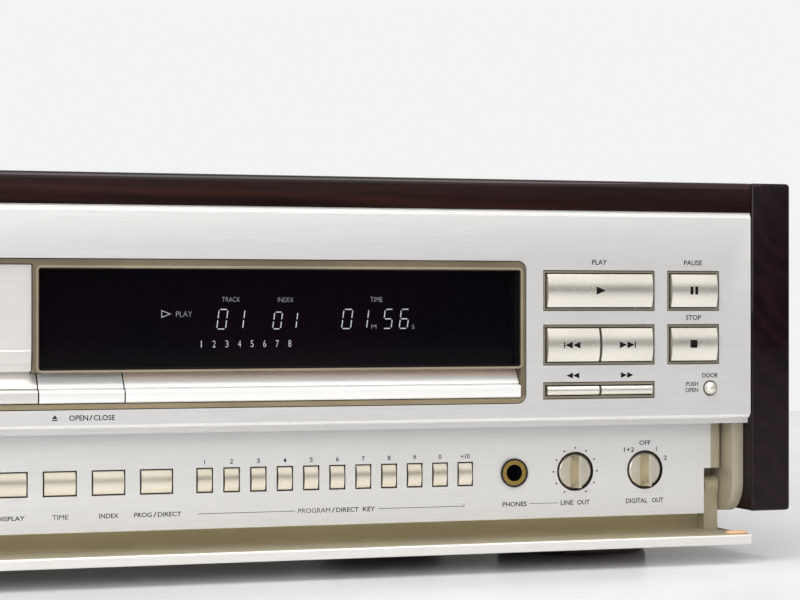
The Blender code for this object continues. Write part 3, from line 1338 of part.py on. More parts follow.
def build_tray():
    """The tray: a slab with two disc wells, finger dips, the pick-up's slot and a rack below."""
    back = TRAY_FRONT_Y + TRAY_LENGTH
    half = TRAY_WIDTH / 2
    outline = rectangle(TRAY_X - half, TRAY_X + half, TRAY_FRONT_Y, back, TRAY_CORNER)
    tray = prism("tray", outline, "Z", TRAY_LOW_Z, TRAY_TOP_Z)
    centre = (DISC_CENTRE_X, DISC_CENTRE_Y)
    above = TRAY_TOP_Z + OVERRUN
    below = TRAY_LOW_Z - OVERRUN
    well = rod("disc_well", "Z", centre, DISC_WELL_RADIUS, TRAY_TOP_Z - DISC_WELL_DEPTH, above, steps=FINE_STEPS)
    small = rod("small_well", "Z", centre, SMALL_WELL_RADIUS, TRAY_TOP_Z - SMALL_WELL_DEPTH, above, steps=FINE_STEPS)
    finger = box(
        "finger_dip",
        (DISC_CENTRE_X - FINGER_HALF_WIDTH, DISC_CENTRE_X + FINGER_HALF_WIDTH),
        (DISC_CENTRE_Y, DISC_CENTRE_Y + DISC_WELL_RADIUS + FINGER_REACH),
        (TRAY_TOP_Z - FINGER_DEPTH, above),
    )
    slot_outline = arc(*centre, SLOT_RADIUS, HALF_TURN, FULL_TURN, 2 * ARC_STEPS) + [
        (DISC_CENTRE_X + SLOT_RADIUS, SLOT_BACK_Y),
        (DISC_CENTRE_X - SLOT_RADIUS, SLOT_BACK_Y),
    ]
    slot = prism("pickup_slot", slot_outline, "Z", below, above)
    cut(tray, well, small, finger, slot)
    join(tray, prism("rack", rack_outline(), "Z", TRAY_LOW_Z - RACK_DROP, TRAY_LOW_Z + BITE))
    finish(tray, GREY_PLASTIC)


def involute(base, radius):
    """The angle that an involute has unwound when it reaches a radius."""
    if radius <= base:
        return 0.0
    ratio = math.sqrt(radius * radius / (base * base) - 1)
    return ratio - math.atan(ratio)


def gear_outline():
    """Involute teeth about the origin, with a gap facing the rack."""
    base = GEAR_RADIUS * math.cos(PRESSURE_ANGLE)
    tip = GEAR_RADIUS + GEAR_ADDENDUM_SHARE * MODULE
    root = GEAR_RADIUS - DEDENDUM_SHARE * MODULE
    half = math.pi / (2 * GEAR_TEETH) - BACKLASH / (2 * GEAR_RADIUS)
    at_pitch = involute(base, GEAR_RADIUS)
    start = max(base, root)
    radii = [start + (tip - start) * i / FLANK_STEPS for i in range(FLANK_STEPS + 1)]
    flank = [(root, half + at_pitch)] + [(r, half + at_pitch - involute(base, r)) for r in radii]
    points = []
    for tooth in range(GEAR_TEETH):
        middle = 2 * math.pi * (tooth + 0.5) / GEAR_TEETH
        rising = [(r, middle - turn) for r, turn in flank]
        falling = [(r, middle + turn) for r, turn in reversed(flank)]
        points += [(r * math.cos(a), r * math.sin(a)) for r, a in rising + falling]
    return points


def build_gear():
    """The gear that drives the rack, on a pin of the loader."""
    gear = prism("loading_gear", gear_outline(), "Z", 0, GEAR_THICK)
    bore = rod("gear_bore", "Z", (0, 0), GEAR_BORE, -OVERRUN, GEAR_THICK + OVERRUN, steps=SMALL_STEPS)
    cut(gear, bore)
    for piece in (gear, bore):
        piece.location = (GEAR_X, GEAR_Y, GEAR_LOW_Z)
    finish(gear, PALE_PLASTIC)


def loader_outline():
    """Section (x, z) of the loader: a floor, two walls and the rails that carry the tray."""
    side = [
        (LOADER_HALF, INSIDE_LOW_Z),
        (LOADER_HALF, LOADER_TOP_Z),
        (LOADER_HALF - LOADER_WALL, LOADER_TOP_Z),
        (LOADER_HALF - LOADER_WALL, RAIL_TOP_Z),
        (RAIL_INNER_HALF, RAIL_TOP_Z),
        (RAIL_INNER_HALF, RAIL_TOP_Z - RAIL_THICK),
        (LOADER_HALF - LOADER_WALL, RAIL_TOP_Z - RAIL_THICK),
        (LOADER_HALF - LOADER_WALL, INSIDE_LOW_Z + LOADER_FLOOR),
    ]
    right = [(TRAY_X + x, z) for x, z in side]
    left = [(TRAY_X - x, z) for x, z in reversed(side)]
    return right + left


def build_loader():
    """Loader frame with the gear's shelf and pin, and the posts that the traverse rests on."""
    back = LOADER_FRONT_Y + LOADER_LENGTH
    loader = prism("loader_frame", loader_outline(), "Y", LOADER_FRONT_Y, back)
    shelf_top = GEAR_LOW_Z - FIT
    shelf = box(
        "gear_shelf",
        (GEAR_X - SHELF_HALF_LENGTH, TRAY_X + LOADER_HALF - BITE),
        (GEAR_Y - SHELF_HALF_LENGTH, GEAR_Y + SHELF_HALF_LENGTH),
        (shelf_top - SHELF_THICK, shelf_top),
    )
    pin_radius = GEAR_BORE - PIN_GAP
    pin = rod("gear_pin", "Z", (GEAR_X, GEAR_Y), pin_radius, shelf_top - BITE, GEAR_TOP_Z, steps=SMALL_STEPS)
    join(loader, shelf, pin)
    reach = TRAVERSE_WIDTH / 2 - POST_INSET
    rows = (TRAVERSE_FRONT_Y + POST_INSET, TRAVERSE_BACK_Y - POST_INSET)
    post_top = TRAVERSE_TOP_Z - TRAVERSE_THICK - FIT
    for i, y in enumerate(rows):
        for side in (-1, 1):
            place = (TRAY_X + side * reach, y)
            floor = INSIDE_LOW_Z + LOADER_FLOOR - BITE
            join(loader, rod(f"post_{i}_{side}", "Z", place, POST_RADIUS, floor, post_top, steps=SMALL_STEPS))
    finish(loader, GREY_PLASTIC)


def build_traverse():
    """The plate that lifts spindle and pick-up to the disc, with the spindle motor's can below it."""
    half = TRAVERSE_WIDTH / 2
    low = TRAVERSE_TOP_Z - TRAVERSE_THICK
    plate = box(
        "traverse_base",
        (TRAY_X - half, TRAY_X + half),
        (TRAVERSE_FRONT_Y, TRAVERSE_BACK_Y),
        (low, TRAVERSE_TOP_Z),
    )
    centre = (DISC_CENTRE_X, DISC_CENTRE_Y)
    join(plate, rod("motor_can", "Z", centre, MOTOR_RADIUS, low - MOTOR_DEPTH, low + BITE, steps=ROUND_STEPS))
    slot_half = SLED_HALF_WIDTH + SLED_GAP
    slot = box(
        "sled_slot",
        (TRAY_X - slot_half, TRAY_X + slot_half),
        (SLED_FRONT_Y - SLED_GAP, SLED_FRONT_Y + SLED_LENGTH + SLED_TRAVEL + SLED_GAP),
        (low - OVERRUN, TRAVERSE_TOP_Z + OVERRUN),
    )
    hole = rod("spindle_hole", "Z", centre, SPINDLE_HOLE, low, TRAVERSE_TOP_Z + OVERRUN, steps=SMALL_STEPS)
    cut(plate, slot, hole)
    finish(plate, ZINC_STEEL)


def build_spindle():
    """The turntable that carries the disc: a seat, a centring cone and a short shaft."""
    low = TRAVERSE_TOP_Z - TRAVERSE_THICK + FIT
    profile = [
        (0, SEAT_Z + CONE_HEIGHT),
        (CONE_TOP_RADIUS, SEAT_Z + CONE_HEIGHT),
        (CONE_RADIUS, SEAT_Z),
        (SEAT_RADIUS, SEAT_Z),
        (SEAT_RADIUS, SEAT_Z - SEAT_THICK),
        (SPINDLE_RADIUS, SEAT_Z - SEAT_THICK),
        (SPINDLE_RADIUS, low),
        (0, low),
    ]
    finish(turned("spindle_turntable", profile, (DISC_CENTRE_X, DISC_CENTRE_Y, 0)), BLACK_PLASTIC)


def build_sled():
    """The optical pick-up: a body in the traverse's slot, side flanges and a lens on top."""
    top = TRAVERSE_TOP_Z + FIT + SLED_FLANGE_THICK
    y_span = (SLED_FRONT_Y, SLED_FRONT_Y + SLED_LENGTH)
    body = box(
        "pickup_sled",
        (TRAY_X - SLED_HALF_WIDTH, TRAY_X + SLED_HALF_WIDTH),
        y_span,
        (TRAVERSE_TOP_Z - SLED_BODY_DEPTH, top),
    )
    reach = SLED_HALF_WIDTH + SLED_FLANGE
    flange = box("sled_flange", (TRAY_X - reach, TRAY_X + reach), y_span, (TRAVERSE_TOP_Z + FIT, top))
    housing = rod(
        "lens_housing", "Z", (TRAY_X, LENS_Y), LENS_HOUSING_RADIUS, top - BITE, top + LENS_HEIGHT / 2, steps=ROUND_STEPS
    )
    lens = rod(
        "lens",
        "Z",
        (TRAY_X, LENS_Y),
        LENS_RADIUS,
        top,
        top + LENS_HEIGHT,
        steps=SMALL_STEPS,
        end_radius=LENS_RADIUS / 2,
    )
    join(body, flange, housing, lens)
    finish(body, BLACK_PLASTIC)


def build_clamp():
    """The bridge over the tray and the magnetic puck that clamps a disc."""
    half = BRIDGE_LENGTH / 2
    low = LOADER_TOP_Z + FIT
    x_span = (TRAY_X - LOADER_HALF, TRAY_X + LOADER_HALF)
    bridge = box(
        "clamp_bridge", x_span, (DISC_CENTRE_Y - half, DISC_CENTRE_Y + half), (low, low + BRIDGE_THICK)
    )
    for name, y in (("front", DISC_CENTRE_Y - half), ("rear", DISC_CENTRE_Y + half - BRIDGE_THICK)):
        rib = box(f"bridge_rib_{name}", x_span, (y, y + BRIDGE_THICK), (low + BITE, low + BRIDGE_FLANGE))
        join(bridge, rib)
    centre = (DISC_CENTRE_X, DISC_CENTRE_Y)
    cut(bridge, rod("puck_hole", "Z", centre, PUCK_HOLE, low - OVERRUN, low + BRIDGE_THICK + OVERRUN))
    finish(bridge, ZINC_STEEL)
    rim_low = low + BRIDGE_THICK + FIT
    profile = [
        (0, rim_low + PUCK_RIM_THICK),
        (PUCK_RADIUS + PUCK_RIM, rim_low + PUCK_RIM_THICK),
        (PUCK_RADIUS + PUCK_RIM, rim_low),
        (PUCK_RADIUS, rim_low),
        (PUCK_RADIUS, PUCK_LOW_Z),
        (PUCK_RECESS_RADIUS, PUCK_LOW_Z),
        (PUCK_RECESS_RADIUS, PUCK_LOW_Z + PUCK_RECESS_DEPTH),
        (0, PUCK_LOW_Z + PUCK_RECESS_DEPTH),
    ]
    finish(turned("clamp_puck", profile, (DISC_CENTRE_X, DISC_CENTRE_Y, 0)), BLACK_PLASTIC)


def board_parts(top, left, right, back):
    """Capacitors, a finned heat sink and a chip that stand on the main board."""
    pieces = []
    for i in range(CAPACITOR_COUNT):
        place = (left + CAPACITOR_INSET + i * CAPACITOR_PITCH, back - CAPACITOR_INSET)
        pieces.append(
            rod(
                f"capacitor_{i}",
                "Z",
                place,
                CAPACITOR_RADIUS,
                top - BITE,
                top + CAPACITOR_HEIGHT,
                steps=SMALL_STEPS,
            )
        )
    sink_right = right - CAPACITOR_INSET
    sink_front = BOARD_FRONT_Y + CAPACITOR_PITCH
    for i in range(SINK_FIN_COUNT):
        x = sink_right - i * SINK_FIN_PITCH
        pieces.append(
            box(
                f"sink_fin_{i}",
                (x - SINK_FIN, x),
                (sink_front, sink_front + SINK_LENGTH),
                (top - BITE, top + SINK_HEIGHT),
            )
        )
    chip_x = (left + right) / 2
    chip_y = BOARD_FRONT_Y + BOARD_LENGTH / 2
    half = CHIP_SIZE / 2
    pieces.append(
        box("chip", (chip_x - half, chip_x + half), (chip_y - half, chip_y + half), (top - BITE, top + CHIP_HEIGHT))
    )
    return pieces


def build_board():
    """The main circuit board on its stand-offs, with its larger parts."""
    low = INSIDE_LOW_Z + BOARD_LIFT
    right = BOARD_RIGHT_X
    back = BOARD_BACK_Y
    board = box("main_board", (BOARD_X, right), (BOARD_FRONT_Y, back), (low, low + BOARD_THICK))
    for i, x in enumerate((BOARD_X + STAND_INSET, right - STAND_INSET)):
        for j, y in enumerate((BOARD_FRONT_Y + STAND_INSET, back - STAND_INSET)):
            join(board, rod(f"stand_{i}_{j}", "Z", (x, y), STAND_RADIUS, INSIDE_LOW_Z, low + BITE, steps=SMALL_STEPS))
    join(board, *board_parts(low + BOARD_THICK, BOARD_X, right, back))
    finish(board, CIRCUIT)


def build_transformer():
    """The mains transformer in its round can, on a wider foot plate."""
    low = INSIDE_LOW_Z
    top = low + TRANSFORMER_HEIGHT
    profile = [
        (0, top),
        (TRANSFORMER_RADIUS - TRANSFORMER_EDGE, top),
        (TRANSFORMER_RADIUS, top - TRANSFORMER_EDGE),
        (TRANSFORMER_RADIUS, low + TRANSFORMER_FOOT_THICK),
        (TRANSFORMER_REACH, low + TRANSFORMER_FOOT_THICK),
        (TRANSFORMER_REACH, low),
        (0, low),
    ]
    finish(turned("power_transformer", profile, (TRANSFORMER_X, TRANSFORMER_Y, 0)), DARK_METAL)


def build_output_sockets():
    """The socket board with round line and digital outputs and the square optical output."""
    inner = REAR_FACE_Y - REAR_THICK - FIT
    board = box(
        "output_sockets",
        (SOCKET_BOARD_X, SOCKET_BOARD_X + SOCKET_BOARD_WIDTH),
        (inner - SOCKET_BOARD_THICK, inner),
        (SOCKET_BOARD_Z, SOCKET_BOARD_Z + SOCKET_BOARD_HEIGHT),
    )
    tip = CASE_DEPTH + SOCKET_REACH
    collar = (REAR_FACE_Y + FIT, REAR_FACE_Y + FIT + SOCKET_COLLAR_THICK)
    for i, place in enumerate(socket_places()):
        join(
            board,
            rod(f"socket_{i}", "Y", place, SOCKET_RADIUS, inner - BITE, tip, steps=SMALL_STEPS),
            rod(f"collar_{i}", "Y", place, SOCKET_RADIUS + SOCKET_COLLAR, *collar, steps=SMALL_STEPS),
        )
        bore = (tip - SOCKET_BORE_DEPTH, tip + OVERRUN)
        cut(board, rod(f"socket_bore_{i}", "Y", place, SOCKET_BORE, *bore, steps=SOCKET_BORE_STEPS))
    x, z = optical_place()
    join(
        board,
        box(
            "optical_socket",
            (x - OPTICAL_WIDTH / 2, x + OPTICAL_WIDTH / 2),
            (inner - BITE, REAR_FACE_Y + OPTICAL_REACH),
            (z - OPTICAL_HEIGHT / 2, z + OPTICAL_HEIGHT / 2),
        ),
    )
    finish(board, BLACK_PLASTIC)


def build_inlet():
    """The mains inlet: a flanged shell with three blades standing in its cavity."""
    front = REAR_FACE_Y + FIT + INLET_FLANGE_THICK
    mouth_half_width = INLET_WIDTH / 2 - INLET_WALL
    mouth_half_height = INLET_HEIGHT / 2 - INLET_WALL
    shell = box(
        "power_inlet",
        (INLET_X - INLET_WIDTH / 2, INLET_X + INLET_WIDTH / 2),
        (front - INLET_DEPTH, front),
        (INLET_Z - INLET_HEIGHT / 2, INLET_Z + INLET_HEIGHT / 2),
    )
    flange = box(
        "inlet_flange",
        (INLET_X - INLET_WIDTH / 2 - INLET_FLANGE_EAR, INLET_X + INLET_WIDTH / 2 + INLET_FLANGE_EAR),
        (REAR_FACE_Y + FIT, front),
        (INLET_Z - INLET_HEIGHT / 2 - INLET_FLANGE_EDGE, INLET_Z + INLET_HEIGHT / 2 + INLET_FLANGE_EDGE),
    )
    floor = front - INLET_CAVITY_DEPTH
    cavity = box(
        "inlet_cavity",
        (INLET_X - mouth_half_width, INLET_X + mouth_half_width),
        (floor, front + OVERRUN),
        (INLET_Z - mouth_half_height, INLET_Z + mouth_half_height),
    )
    join(shell, flange)
    cut(shell, cavity)
    places = ((0, BLADE_PITCH / 2), (-BLADE_PITCH, -BLADE_PITCH / 2), (BLADE_PITCH, -BLADE_PITCH / 2))
    for i, (x, z) in enumerate(places):
        blade = box(
            f"blade_{i}",
            (INLET_X + x - BLADE_WIDTH / 2, INLET_X + x + BLADE_WIDTH / 2),
            (floor - BITE, floor + BLADE_LENGTH),
            (INLET_Z + z - BLADE_HEIGHT / 2, INLET_Z + z + BLADE_HEIGHT / 2),
        )
        join(shell, blade)
    finish(shell, BLACK_PLASTIC)


def main():
    """Build every piece, from the case inwards."""
    build_base()
    build_feet()
    build_wood()
    build_rear()
    build_front_panel()
    build_window_frame()
    build_glass()
    build_bar()
    build_bezel()
    build_transport_buttons()
    build_key_panel()
    build_keys()
    build_front_frame()
    build_jack()
    build_knob("line_out_knob", LINE_KNOB_X)
    build_knob("digital_out_knob", DIGITAL_KNOB_X)
    build_flap()
    build_tray_door()
    build_tray()
    build_gear()
    build_loader()
    build_traverse()
    build_spindle()
    build_sled()
    build_clamp()
    build_board()
    build_transformer()
    build_output_sockets()
    build_inlet()


main()
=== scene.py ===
"""Finishes, markings and studio for a front-loading disc player in a gloss wood case."""

from __future__ import annotations

import logging
import math
from dataclasses import dataclass, replace
from enum import Enum
from typing import Any, Callable, Sequence

import bmesh
import bpy
from mathutils import Matrix, Vector
from mathutils.bvhtree import BVHTree


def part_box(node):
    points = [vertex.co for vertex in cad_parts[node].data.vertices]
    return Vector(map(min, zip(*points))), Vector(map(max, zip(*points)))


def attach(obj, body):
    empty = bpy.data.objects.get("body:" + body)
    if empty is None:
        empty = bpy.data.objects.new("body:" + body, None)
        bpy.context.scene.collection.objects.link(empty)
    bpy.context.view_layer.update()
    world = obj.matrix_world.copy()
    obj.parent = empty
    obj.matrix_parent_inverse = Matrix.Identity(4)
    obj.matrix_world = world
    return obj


Colour = tuple[float, float, float]
Place = tuple[float, float, float]
Point = tuple[float, float]
Lines = dict[Point, Sequence[tuple[str, float, float]]]
Material = bpy.types.Material
Form = bmesh.types.BMesh

MM = 0.001
WELD = 0.004
LOG = logging.getLogger("disc_player")

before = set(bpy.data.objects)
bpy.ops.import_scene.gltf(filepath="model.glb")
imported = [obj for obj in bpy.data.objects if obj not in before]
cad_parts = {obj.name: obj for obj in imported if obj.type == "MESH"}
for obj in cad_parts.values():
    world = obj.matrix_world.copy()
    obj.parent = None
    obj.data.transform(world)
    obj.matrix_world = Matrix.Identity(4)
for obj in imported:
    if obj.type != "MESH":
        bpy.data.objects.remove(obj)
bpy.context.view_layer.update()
FACE_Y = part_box("front_panel")[0].y


def seen(red: int, green: int, blue: int) -> Colour:
    """Turns a colour as a screen shows it into linear light.

    Args:
        red: Red from 0 to 255.
        green: Green from 0 to 255.
        blue: Blue from 0 to 255.

    Returns:
        The same colour in the linear values that a shader takes.
    """
    parts = []
    for part in (red, green, blue):
        share = part / 255
        parts.append(share / 12.92 if share <= 0.04045 else ((share + 0.055) / 1.055) ** 2.4)
    return (parts[0], parts[1], parts[2])


def _operator(operation: str, reflected: bool = False) -> Callable[[Sock, Sock | float], Sock]:
    """Makes an operator for the socket wrapper.

    Args:
        operation: The Math node's operation.
        reflected: Whether the wrapper stands on the right of the sign.

    Returns:
        The method, which adds one Math node.
    """

    def method(self: Sock, other: Sock | float) -> Sock:
        """Adds the node for the wrapper and the other value."""
        first, second = (other, self) if reflected else (self, other)
        return self.graph.node("ShaderNodeMath", {"operation": operation}, {0: first, 1: second})

    return method


class Sock:
    """A shader value that takes part in arithmetic, where a comparison gives 1 or 0."""

    def __init__(self, graph: Graph, end: bpy.types.NodeSocket) -> None:
        """Keeps the graph and the socket that the value leaves by."""
        self.graph = graph
        self.end = end

    __add__ = _operator("ADD")
    __radd__ = _operator("ADD", True)
    __sub__ = _operator("SUBTRACT")
    __rsub__ = _operator("SUBTRACT", True)
    __mul__ = _operator("MULTIPLY")
    __rmul__ = _operator("MULTIPLY", True)
    __lt__ = _operator("LESS_THAN")


class Graph:
    """The nodes of one material or world, built by expressions."""

    def __init__(self, owner: Material | bpy.types.World) -> None:
        """Starts an empty graph.

        Args:
            owner: The material or world that it belongs to.
        """
        self.owner = owner
        owner.use_nodes = True
        self.tree = owner.node_tree
        self.tree.nodes.clear()

    @classmethod
    def of_material(cls, name: str) -> Graph:
        """Starts a new material of that name."""
        return cls(bpy.data.materials.new(name))

    def node(
        self,
        kind: str,
        settings: dict[str, Any] | None = None,
        inputs: dict[int | str, Any] | None = None,
        output: int | str = 0,
    ) -> Sock:
        """Adds one node.

        Args:
            kind: The node's type.
            settings: The node's own settings, which are set first; "stops" are a ramp's.
            inputs: Values or links of its sockets.
            output: The socket that the result leaves by.

        Returns:
            The chosen output.
        """
        made = self.tree.nodes.new(kind)
        for key, value in (settings or {}).items():
            if key == "stops":
                self._set_stops(made.color_ramp, value)
            else:
                setattr(made, key, value)
        for place, value in (inputs or {}).items():
            entry = made.inputs[place]
            if isinstance(value, Sock):
                self.tree.links.new(value.end, entry)
            elif entry.type == "RGBA":
                entry.default_value = (*value, 1.0)
            else:
                entry.default_value = value
        return Sock(self, made.outputs[output])

    @staticmethod
    def _set_stops(ramp: bpy.types.ColorRamp, stops: Sequence[tuple[float, Colour]]) -> None:
        """Gives a ramp its stops.

        Args:
            ramp: The ramp.
            stops: For each its place and its colour.
        """
        while len(ramp.elements) < len(stops):
            ramp.elements.new(1.0)
        for element, (place, colour) in zip(ramp.elements, stops):
            element.position = place
            element.color = (*colour, 1.0)

    def stretched(self, stretch: Place) -> Sock:
        """Gives the object's coordinates in metres, multiplied axis by axis."""
        place = self.node("ShaderNodeTexCoord", output="Object")
        return self.node("ShaderNodeVectorMath", {"operation": "MULTIPLY"}, {0: place, 1: stretch})

    def noise(self, stretch: Place, detail: float = 2.0, rough: float = 0.5, twist: float = 0.0) -> Sock:
        """Adds noise of so many spots per metre.

        Args:
            stretch: Spots per metre along X, Y and Z.
            detail: How many finer layers it has.
            rough: How strong the finer layers are.
            twist: How far the spots are twisted.

        Returns:
            The noise, from 0 to 1.
        """
        inputs = {"Vector": self.stretched(stretch), "Scale": 1.0, "Detail": detail, "Roughness": rough}
        return self.node("ShaderNodeTexNoise", None, inputs | {"Distortion": twist})

    def spots(self, per_metre: float, detail: float = 2.0, rough: float = 0.5) -> Sock:
        """Adds noise with as many spots per metre along every axis."""
        return self.noise((per_metre,) * 3, detail, rough)

    def cells(self, per_metre: float, output: str = "Distance", **settings: Any) -> Sock:
        """Adds cells, with as many per metre along every axis."""
        inputs = {"Vector": self.stretched((per_metre,) * 3), "Scale": 1.0}
        return self.node("ShaderNodeTexVoronoi", settings, inputs, output)

    def remap(self, value: Sock, low: float, high: float, to_low: float = 0.0, to_high: float = 1.0) -> Sock:
        """Spreads a value from one range over another, and clamps it."""
        inputs = {0: value, 1: low, 2: high, 3: to_low, 4: to_high}
        return self.node("ShaderNodeMapRange", {"clamp": True}, inputs)

    def mix(self, share: Sock | float, first: Sock | Colour, second: Sock | Colour) -> Sock:
        """Mixes two colours by a share of the second."""
        return self.node("ShaderNodeMix", {"data_type": "RGBA"}, {0: share, 6: first, 7: second}, 2)

    def bump(self, height: Sock, depth: float, strength: float = 1.0) -> Sock:
        """Turns a height from 0 to 1 into a bumped normal of that depth in metres."""
        inputs = {"Height": height, "Distance": depth, "Strength": strength}
        return self.node("ShaderNodeBump", None, inputs)

    def surface(self, **inputs: Any) -> Material:
        """Closes the graph with one surface shader.

        Args:
            **inputs: The shader's sockets, with _ for a space.

        Returns:
            The finished material.
        """
        named = {key.replace("_", " "): value for key, value in inputs.items()}
        shader = self.node("ShaderNodeBsdfPrincipled", None, named)
        self.close(shader)
        return self.owner

    def close(self, shader: Sock) -> None:
        """Links a shader to the owner's output.

        Args:
            shader: The shader's output.
        """
        kind = "Material" if isinstance(self.owner, Material) else "World"
        output = self.tree.nodes.new(f"ShaderNodeOutput{kind}")
        self.tree.links.new(shader.end, output.inputs["Surface"])


class Slot(Enum):
    """The record's material slots, which added pieces are passed but take no finish from."""

    ALUMINIUM = "aluminium"
    LINING = "lining"
    BEIGE = "beige"
    BLACK_PLASTIC = "black_plastic"
    ZINC_STEEL = "zinc_steel"
    PALE_PLASTIC = "pale_plastic"


class Run(Enum):
    """The way that strokes or grain run."""

    ALONG_X = (1.0, 60.0, 60.0)
    ALONG_Y = (60.0, 1.0, 60.0)


@dataclass(frozen=True)
class BrushedMetal:
    """Anodised metal, brushed in straight strokes, with a painted reflection as a second colour above a
    height if it has one.
    """

    light: Colour = seen(226, 225, 223)
    dark: Colour = seen(216, 215, 213)
    roughness: float = 0.44
    run: Run = Run.ALONG_X
    strokes: float = 30.0
    depth: float = 0.00002
    metallic: float = 0.6
    painted_reflection: Colour | None = None
    painted_reflection_from: float = 0.0
    painted_reflection_over: float = 0.0006
    smudges: Place = (9.0, 9.0, 14.0)

    def material(self, name: str) -> Material:
        """Makes the material.

        Args:
            name: Its name.

        Returns:
            The material.
        """
        g = Graph.of_material(name)
        stretch = tuple(self.strokes * part for part in self.run.value)
        fine = g.noise(tuple(part * 2 for part in stretch), 3.0, 0.62)
        broad = g.noise(tuple(part / 4 for part in stretch), 2.0)
        strokes = fine * 0.82 + broad * 0.18
        handling = g.noise(self.smudges, 3.0, 0.6)
        tone = g.mix(g.remap(strokes, 0.3, 0.7), self.dark, self.light)
        tone = g.mix(g.remap(handling, 0.35, 0.8, 0.0, 0.3), tone, self.dark)
        # Painted reflection: a second colour blended in above a height.
        if self.painted_reflection:
            height = g.node("ShaderNodeSeparateXYZ", None, {0: g.stretched((1.0, 1.0, 1.0))}, 2)
            share = g.remap(height, self.painted_reflection_from, self.painted_reflection_from + self.painted_reflection_over)
            tone = g.mix(share, tone, self.painted_reflection)
        rough = strokes * 0.12 + handling * 0.08 + (self.roughness - 0.1)
        return g.surface(
            Base_Color=tone,
            Metallic=self.metallic,
            Roughness=rough,
            Normal=g.bump(strokes, self.depth),
        )


@dataclass(frozen=True)
class SatinMetal:
    """Bead-blasted metal with a pale anodised or lacquered coat."""

    tone: Colour = seen(206, 199, 186)
    shade: Colour = seen(190, 182, 168)
    roughness: float = 0.3
    metallic: float = 0.85
    grain: float = 2400.0
    wear: float = 45.0

    def material(self, name: str) -> Material:
        """Makes the material.

        Args:
            name: Its name.

        Returns:
            The material.
        """
        g = Graph.of_material(name)
        grain = g.spots(self.grain, 2.0, 0.6)
        wear = g.spots(self.wear, 0.0)
        tone = g.mix(g.remap(wear, 0.35, 0.7), self.shade, self.tone)
        return g.surface(
            Base_Color=tone,
            Metallic=self.metallic,
            Roughness=grain * 0.008 + wear * 0.06 + (self.roughness - 0.03),
        )


@dataclass(frozen=True)
class GlossRosewood:
    """Dark rosewood under a thick gloss lacquer."""

    run: Run = Run.ALONG_X
    deep: Colour = seen(20, 8, 7)
    middle: Colour = seen(40, 18, 14)
    streak: Colour = seen(56, 28, 21)
    gloss: float = 0.6
    ripple: float = 11.0
    streaks: Point = (5.0, 110.0)
    pores: Point = (36.0, 1500.0)

    def material(self, name: str) -> Material:
        """Makes the material.

        Args:
            name: Its name.

        Returns:
            The material.
        """
        g = Graph.of_material(name)
        along = tuple(self.streaks[part != 1.0] for part in self.run.value)
        figure = g.noise(along, 5.0, 0.6, 1.2)
        rings = g.node(
            "ShaderNodeTexWave",
            {"wave_type": "BANDS", "bands_direction": "DIAGONAL"},
            {
                "Vector": g.stretched(tuple(part * 0.9 for part in along)),
                "Scale": 0.5,
                "Distortion": 6.0,
                "Detail": 4.0,
                "Detail Scale": 1.3,
            },
        )
        pores = g.noise(tuple(self.pores[part != 1.0] for part in self.run.value), 2.0, 0.6)
        pore = g.remap(pores, 0.56, 0.66)
        tone = g.mix(g.remap(figure, 0.35, 0.68), self.deep, self.middle)
        tone = g.mix(g.remap(rings, 0.5, 1.0, 0.0, 0.4), tone, self.streak)
        tone = g.mix(pore * 0.7, tone, self.deep)
        height = 1.0 - pore * 0.4 + g.spots(self.ripple) * 0.6
        return g.surface(
            Base_Color=tone,
            Roughness=g.remap(figure, 0.3, 0.7, 0.3, 0.42),
            Normal=g.bump(height, 0.000012),
            Specular_IOR_Level=0.1,
            Coat_Weight=self.gloss,
            Coat_Roughness=0.035,
        )


@dataclass(frozen=True)
class Moulded:
    """Moulded or painted plastic with a fine grain."""

    tone: Colour = seen(120, 112, 92)
    shade: Colour = seen(104, 97, 80)
    roughness: float = 0.45
    grain: float = 1600.0
    depth: float = 0.000012
    metallic: float = 0.0
    wear: float = 24.0

    def material(self, name: str) -> Material:
        """Makes the material.

        Args:
            name: Its name.

        Returns:
            The material.
        """
        g = Graph.of_material(name)
        grain = g.spots(self.grain, 2.0, 0.6)
        wear = g.spots(self.wear, 4.0, 0.6)
        tone = g.mix(g.remap(wear, 0.35, 0.7), self.tone, self.shade)
        return g.surface(
            Base_Color=tone,
            Metallic=self.metallic,
            Roughness=grain * 0.1 + wear * 0.12 + (self.roughness - 0.11),
            Normal=g.bump(grain, self.depth),
        )


@dataclass(frozen=True)
class SmokedGlass:
    """Near-black filter glass with a violet cast, polished."""

    tone: Colour = seen(7, 6, 10)
    cast: Colour = seen(14, 5, 12)
    cloud: float = 14.0
    dust: float = 900.0

    def material(self, name: str) -> Material:
        """Makes the material.

        Args:
            name: Its name.

        Returns:
            The material.
        """
        g = Graph.of_material(name)
        cloud = g.spots(self.cloud)
        dust = g.spots(self.dust, 1.0)
        return g.surface(
            Base_Color=g.mix(g.remap(cloud, 0.35, 0.7), self.tone, self.cast),
            Roughness=g.remap(dust, 0.5, 0.8, 0.05, 0.14),
            Specular_IOR_Level=0.2,
            Normal=g.bump(cloud, 0.00001),
        )


@dataclass(frozen=True)
class PlatedSteel:
    """Zinc-plated sheet with faint spangles."""

    light: Colour = seen(190, 190, 184)
    dark: Colour = seen(150, 152, 148)
    roughness: float = 0.38
    spangle: float = 260.0
    scuffs: Place = (30.0, 600.0, 30.0)

    def material(self, name: str) -> Material:
        """Makes the material.

        Args:
            name: Its name.

        Returns:
            The material.
        """
        g = Graph.of_material(name)
        flake = g.node("ShaderNodeSeparateColor", None, {0: g.cells(self.spangle, "Color")})
        scuff = g.noise(self.scuffs, 3.0, 0.6)
        return g.surface(
            Base_Color=g.mix(flake, self.dark, self.light),
            Metallic=1.0,
            Roughness=flake * 0.14 + scuff * 0.16 + (self.roughness - 0.15),
            Normal=g.bump(scuff, 0.000008),
        )


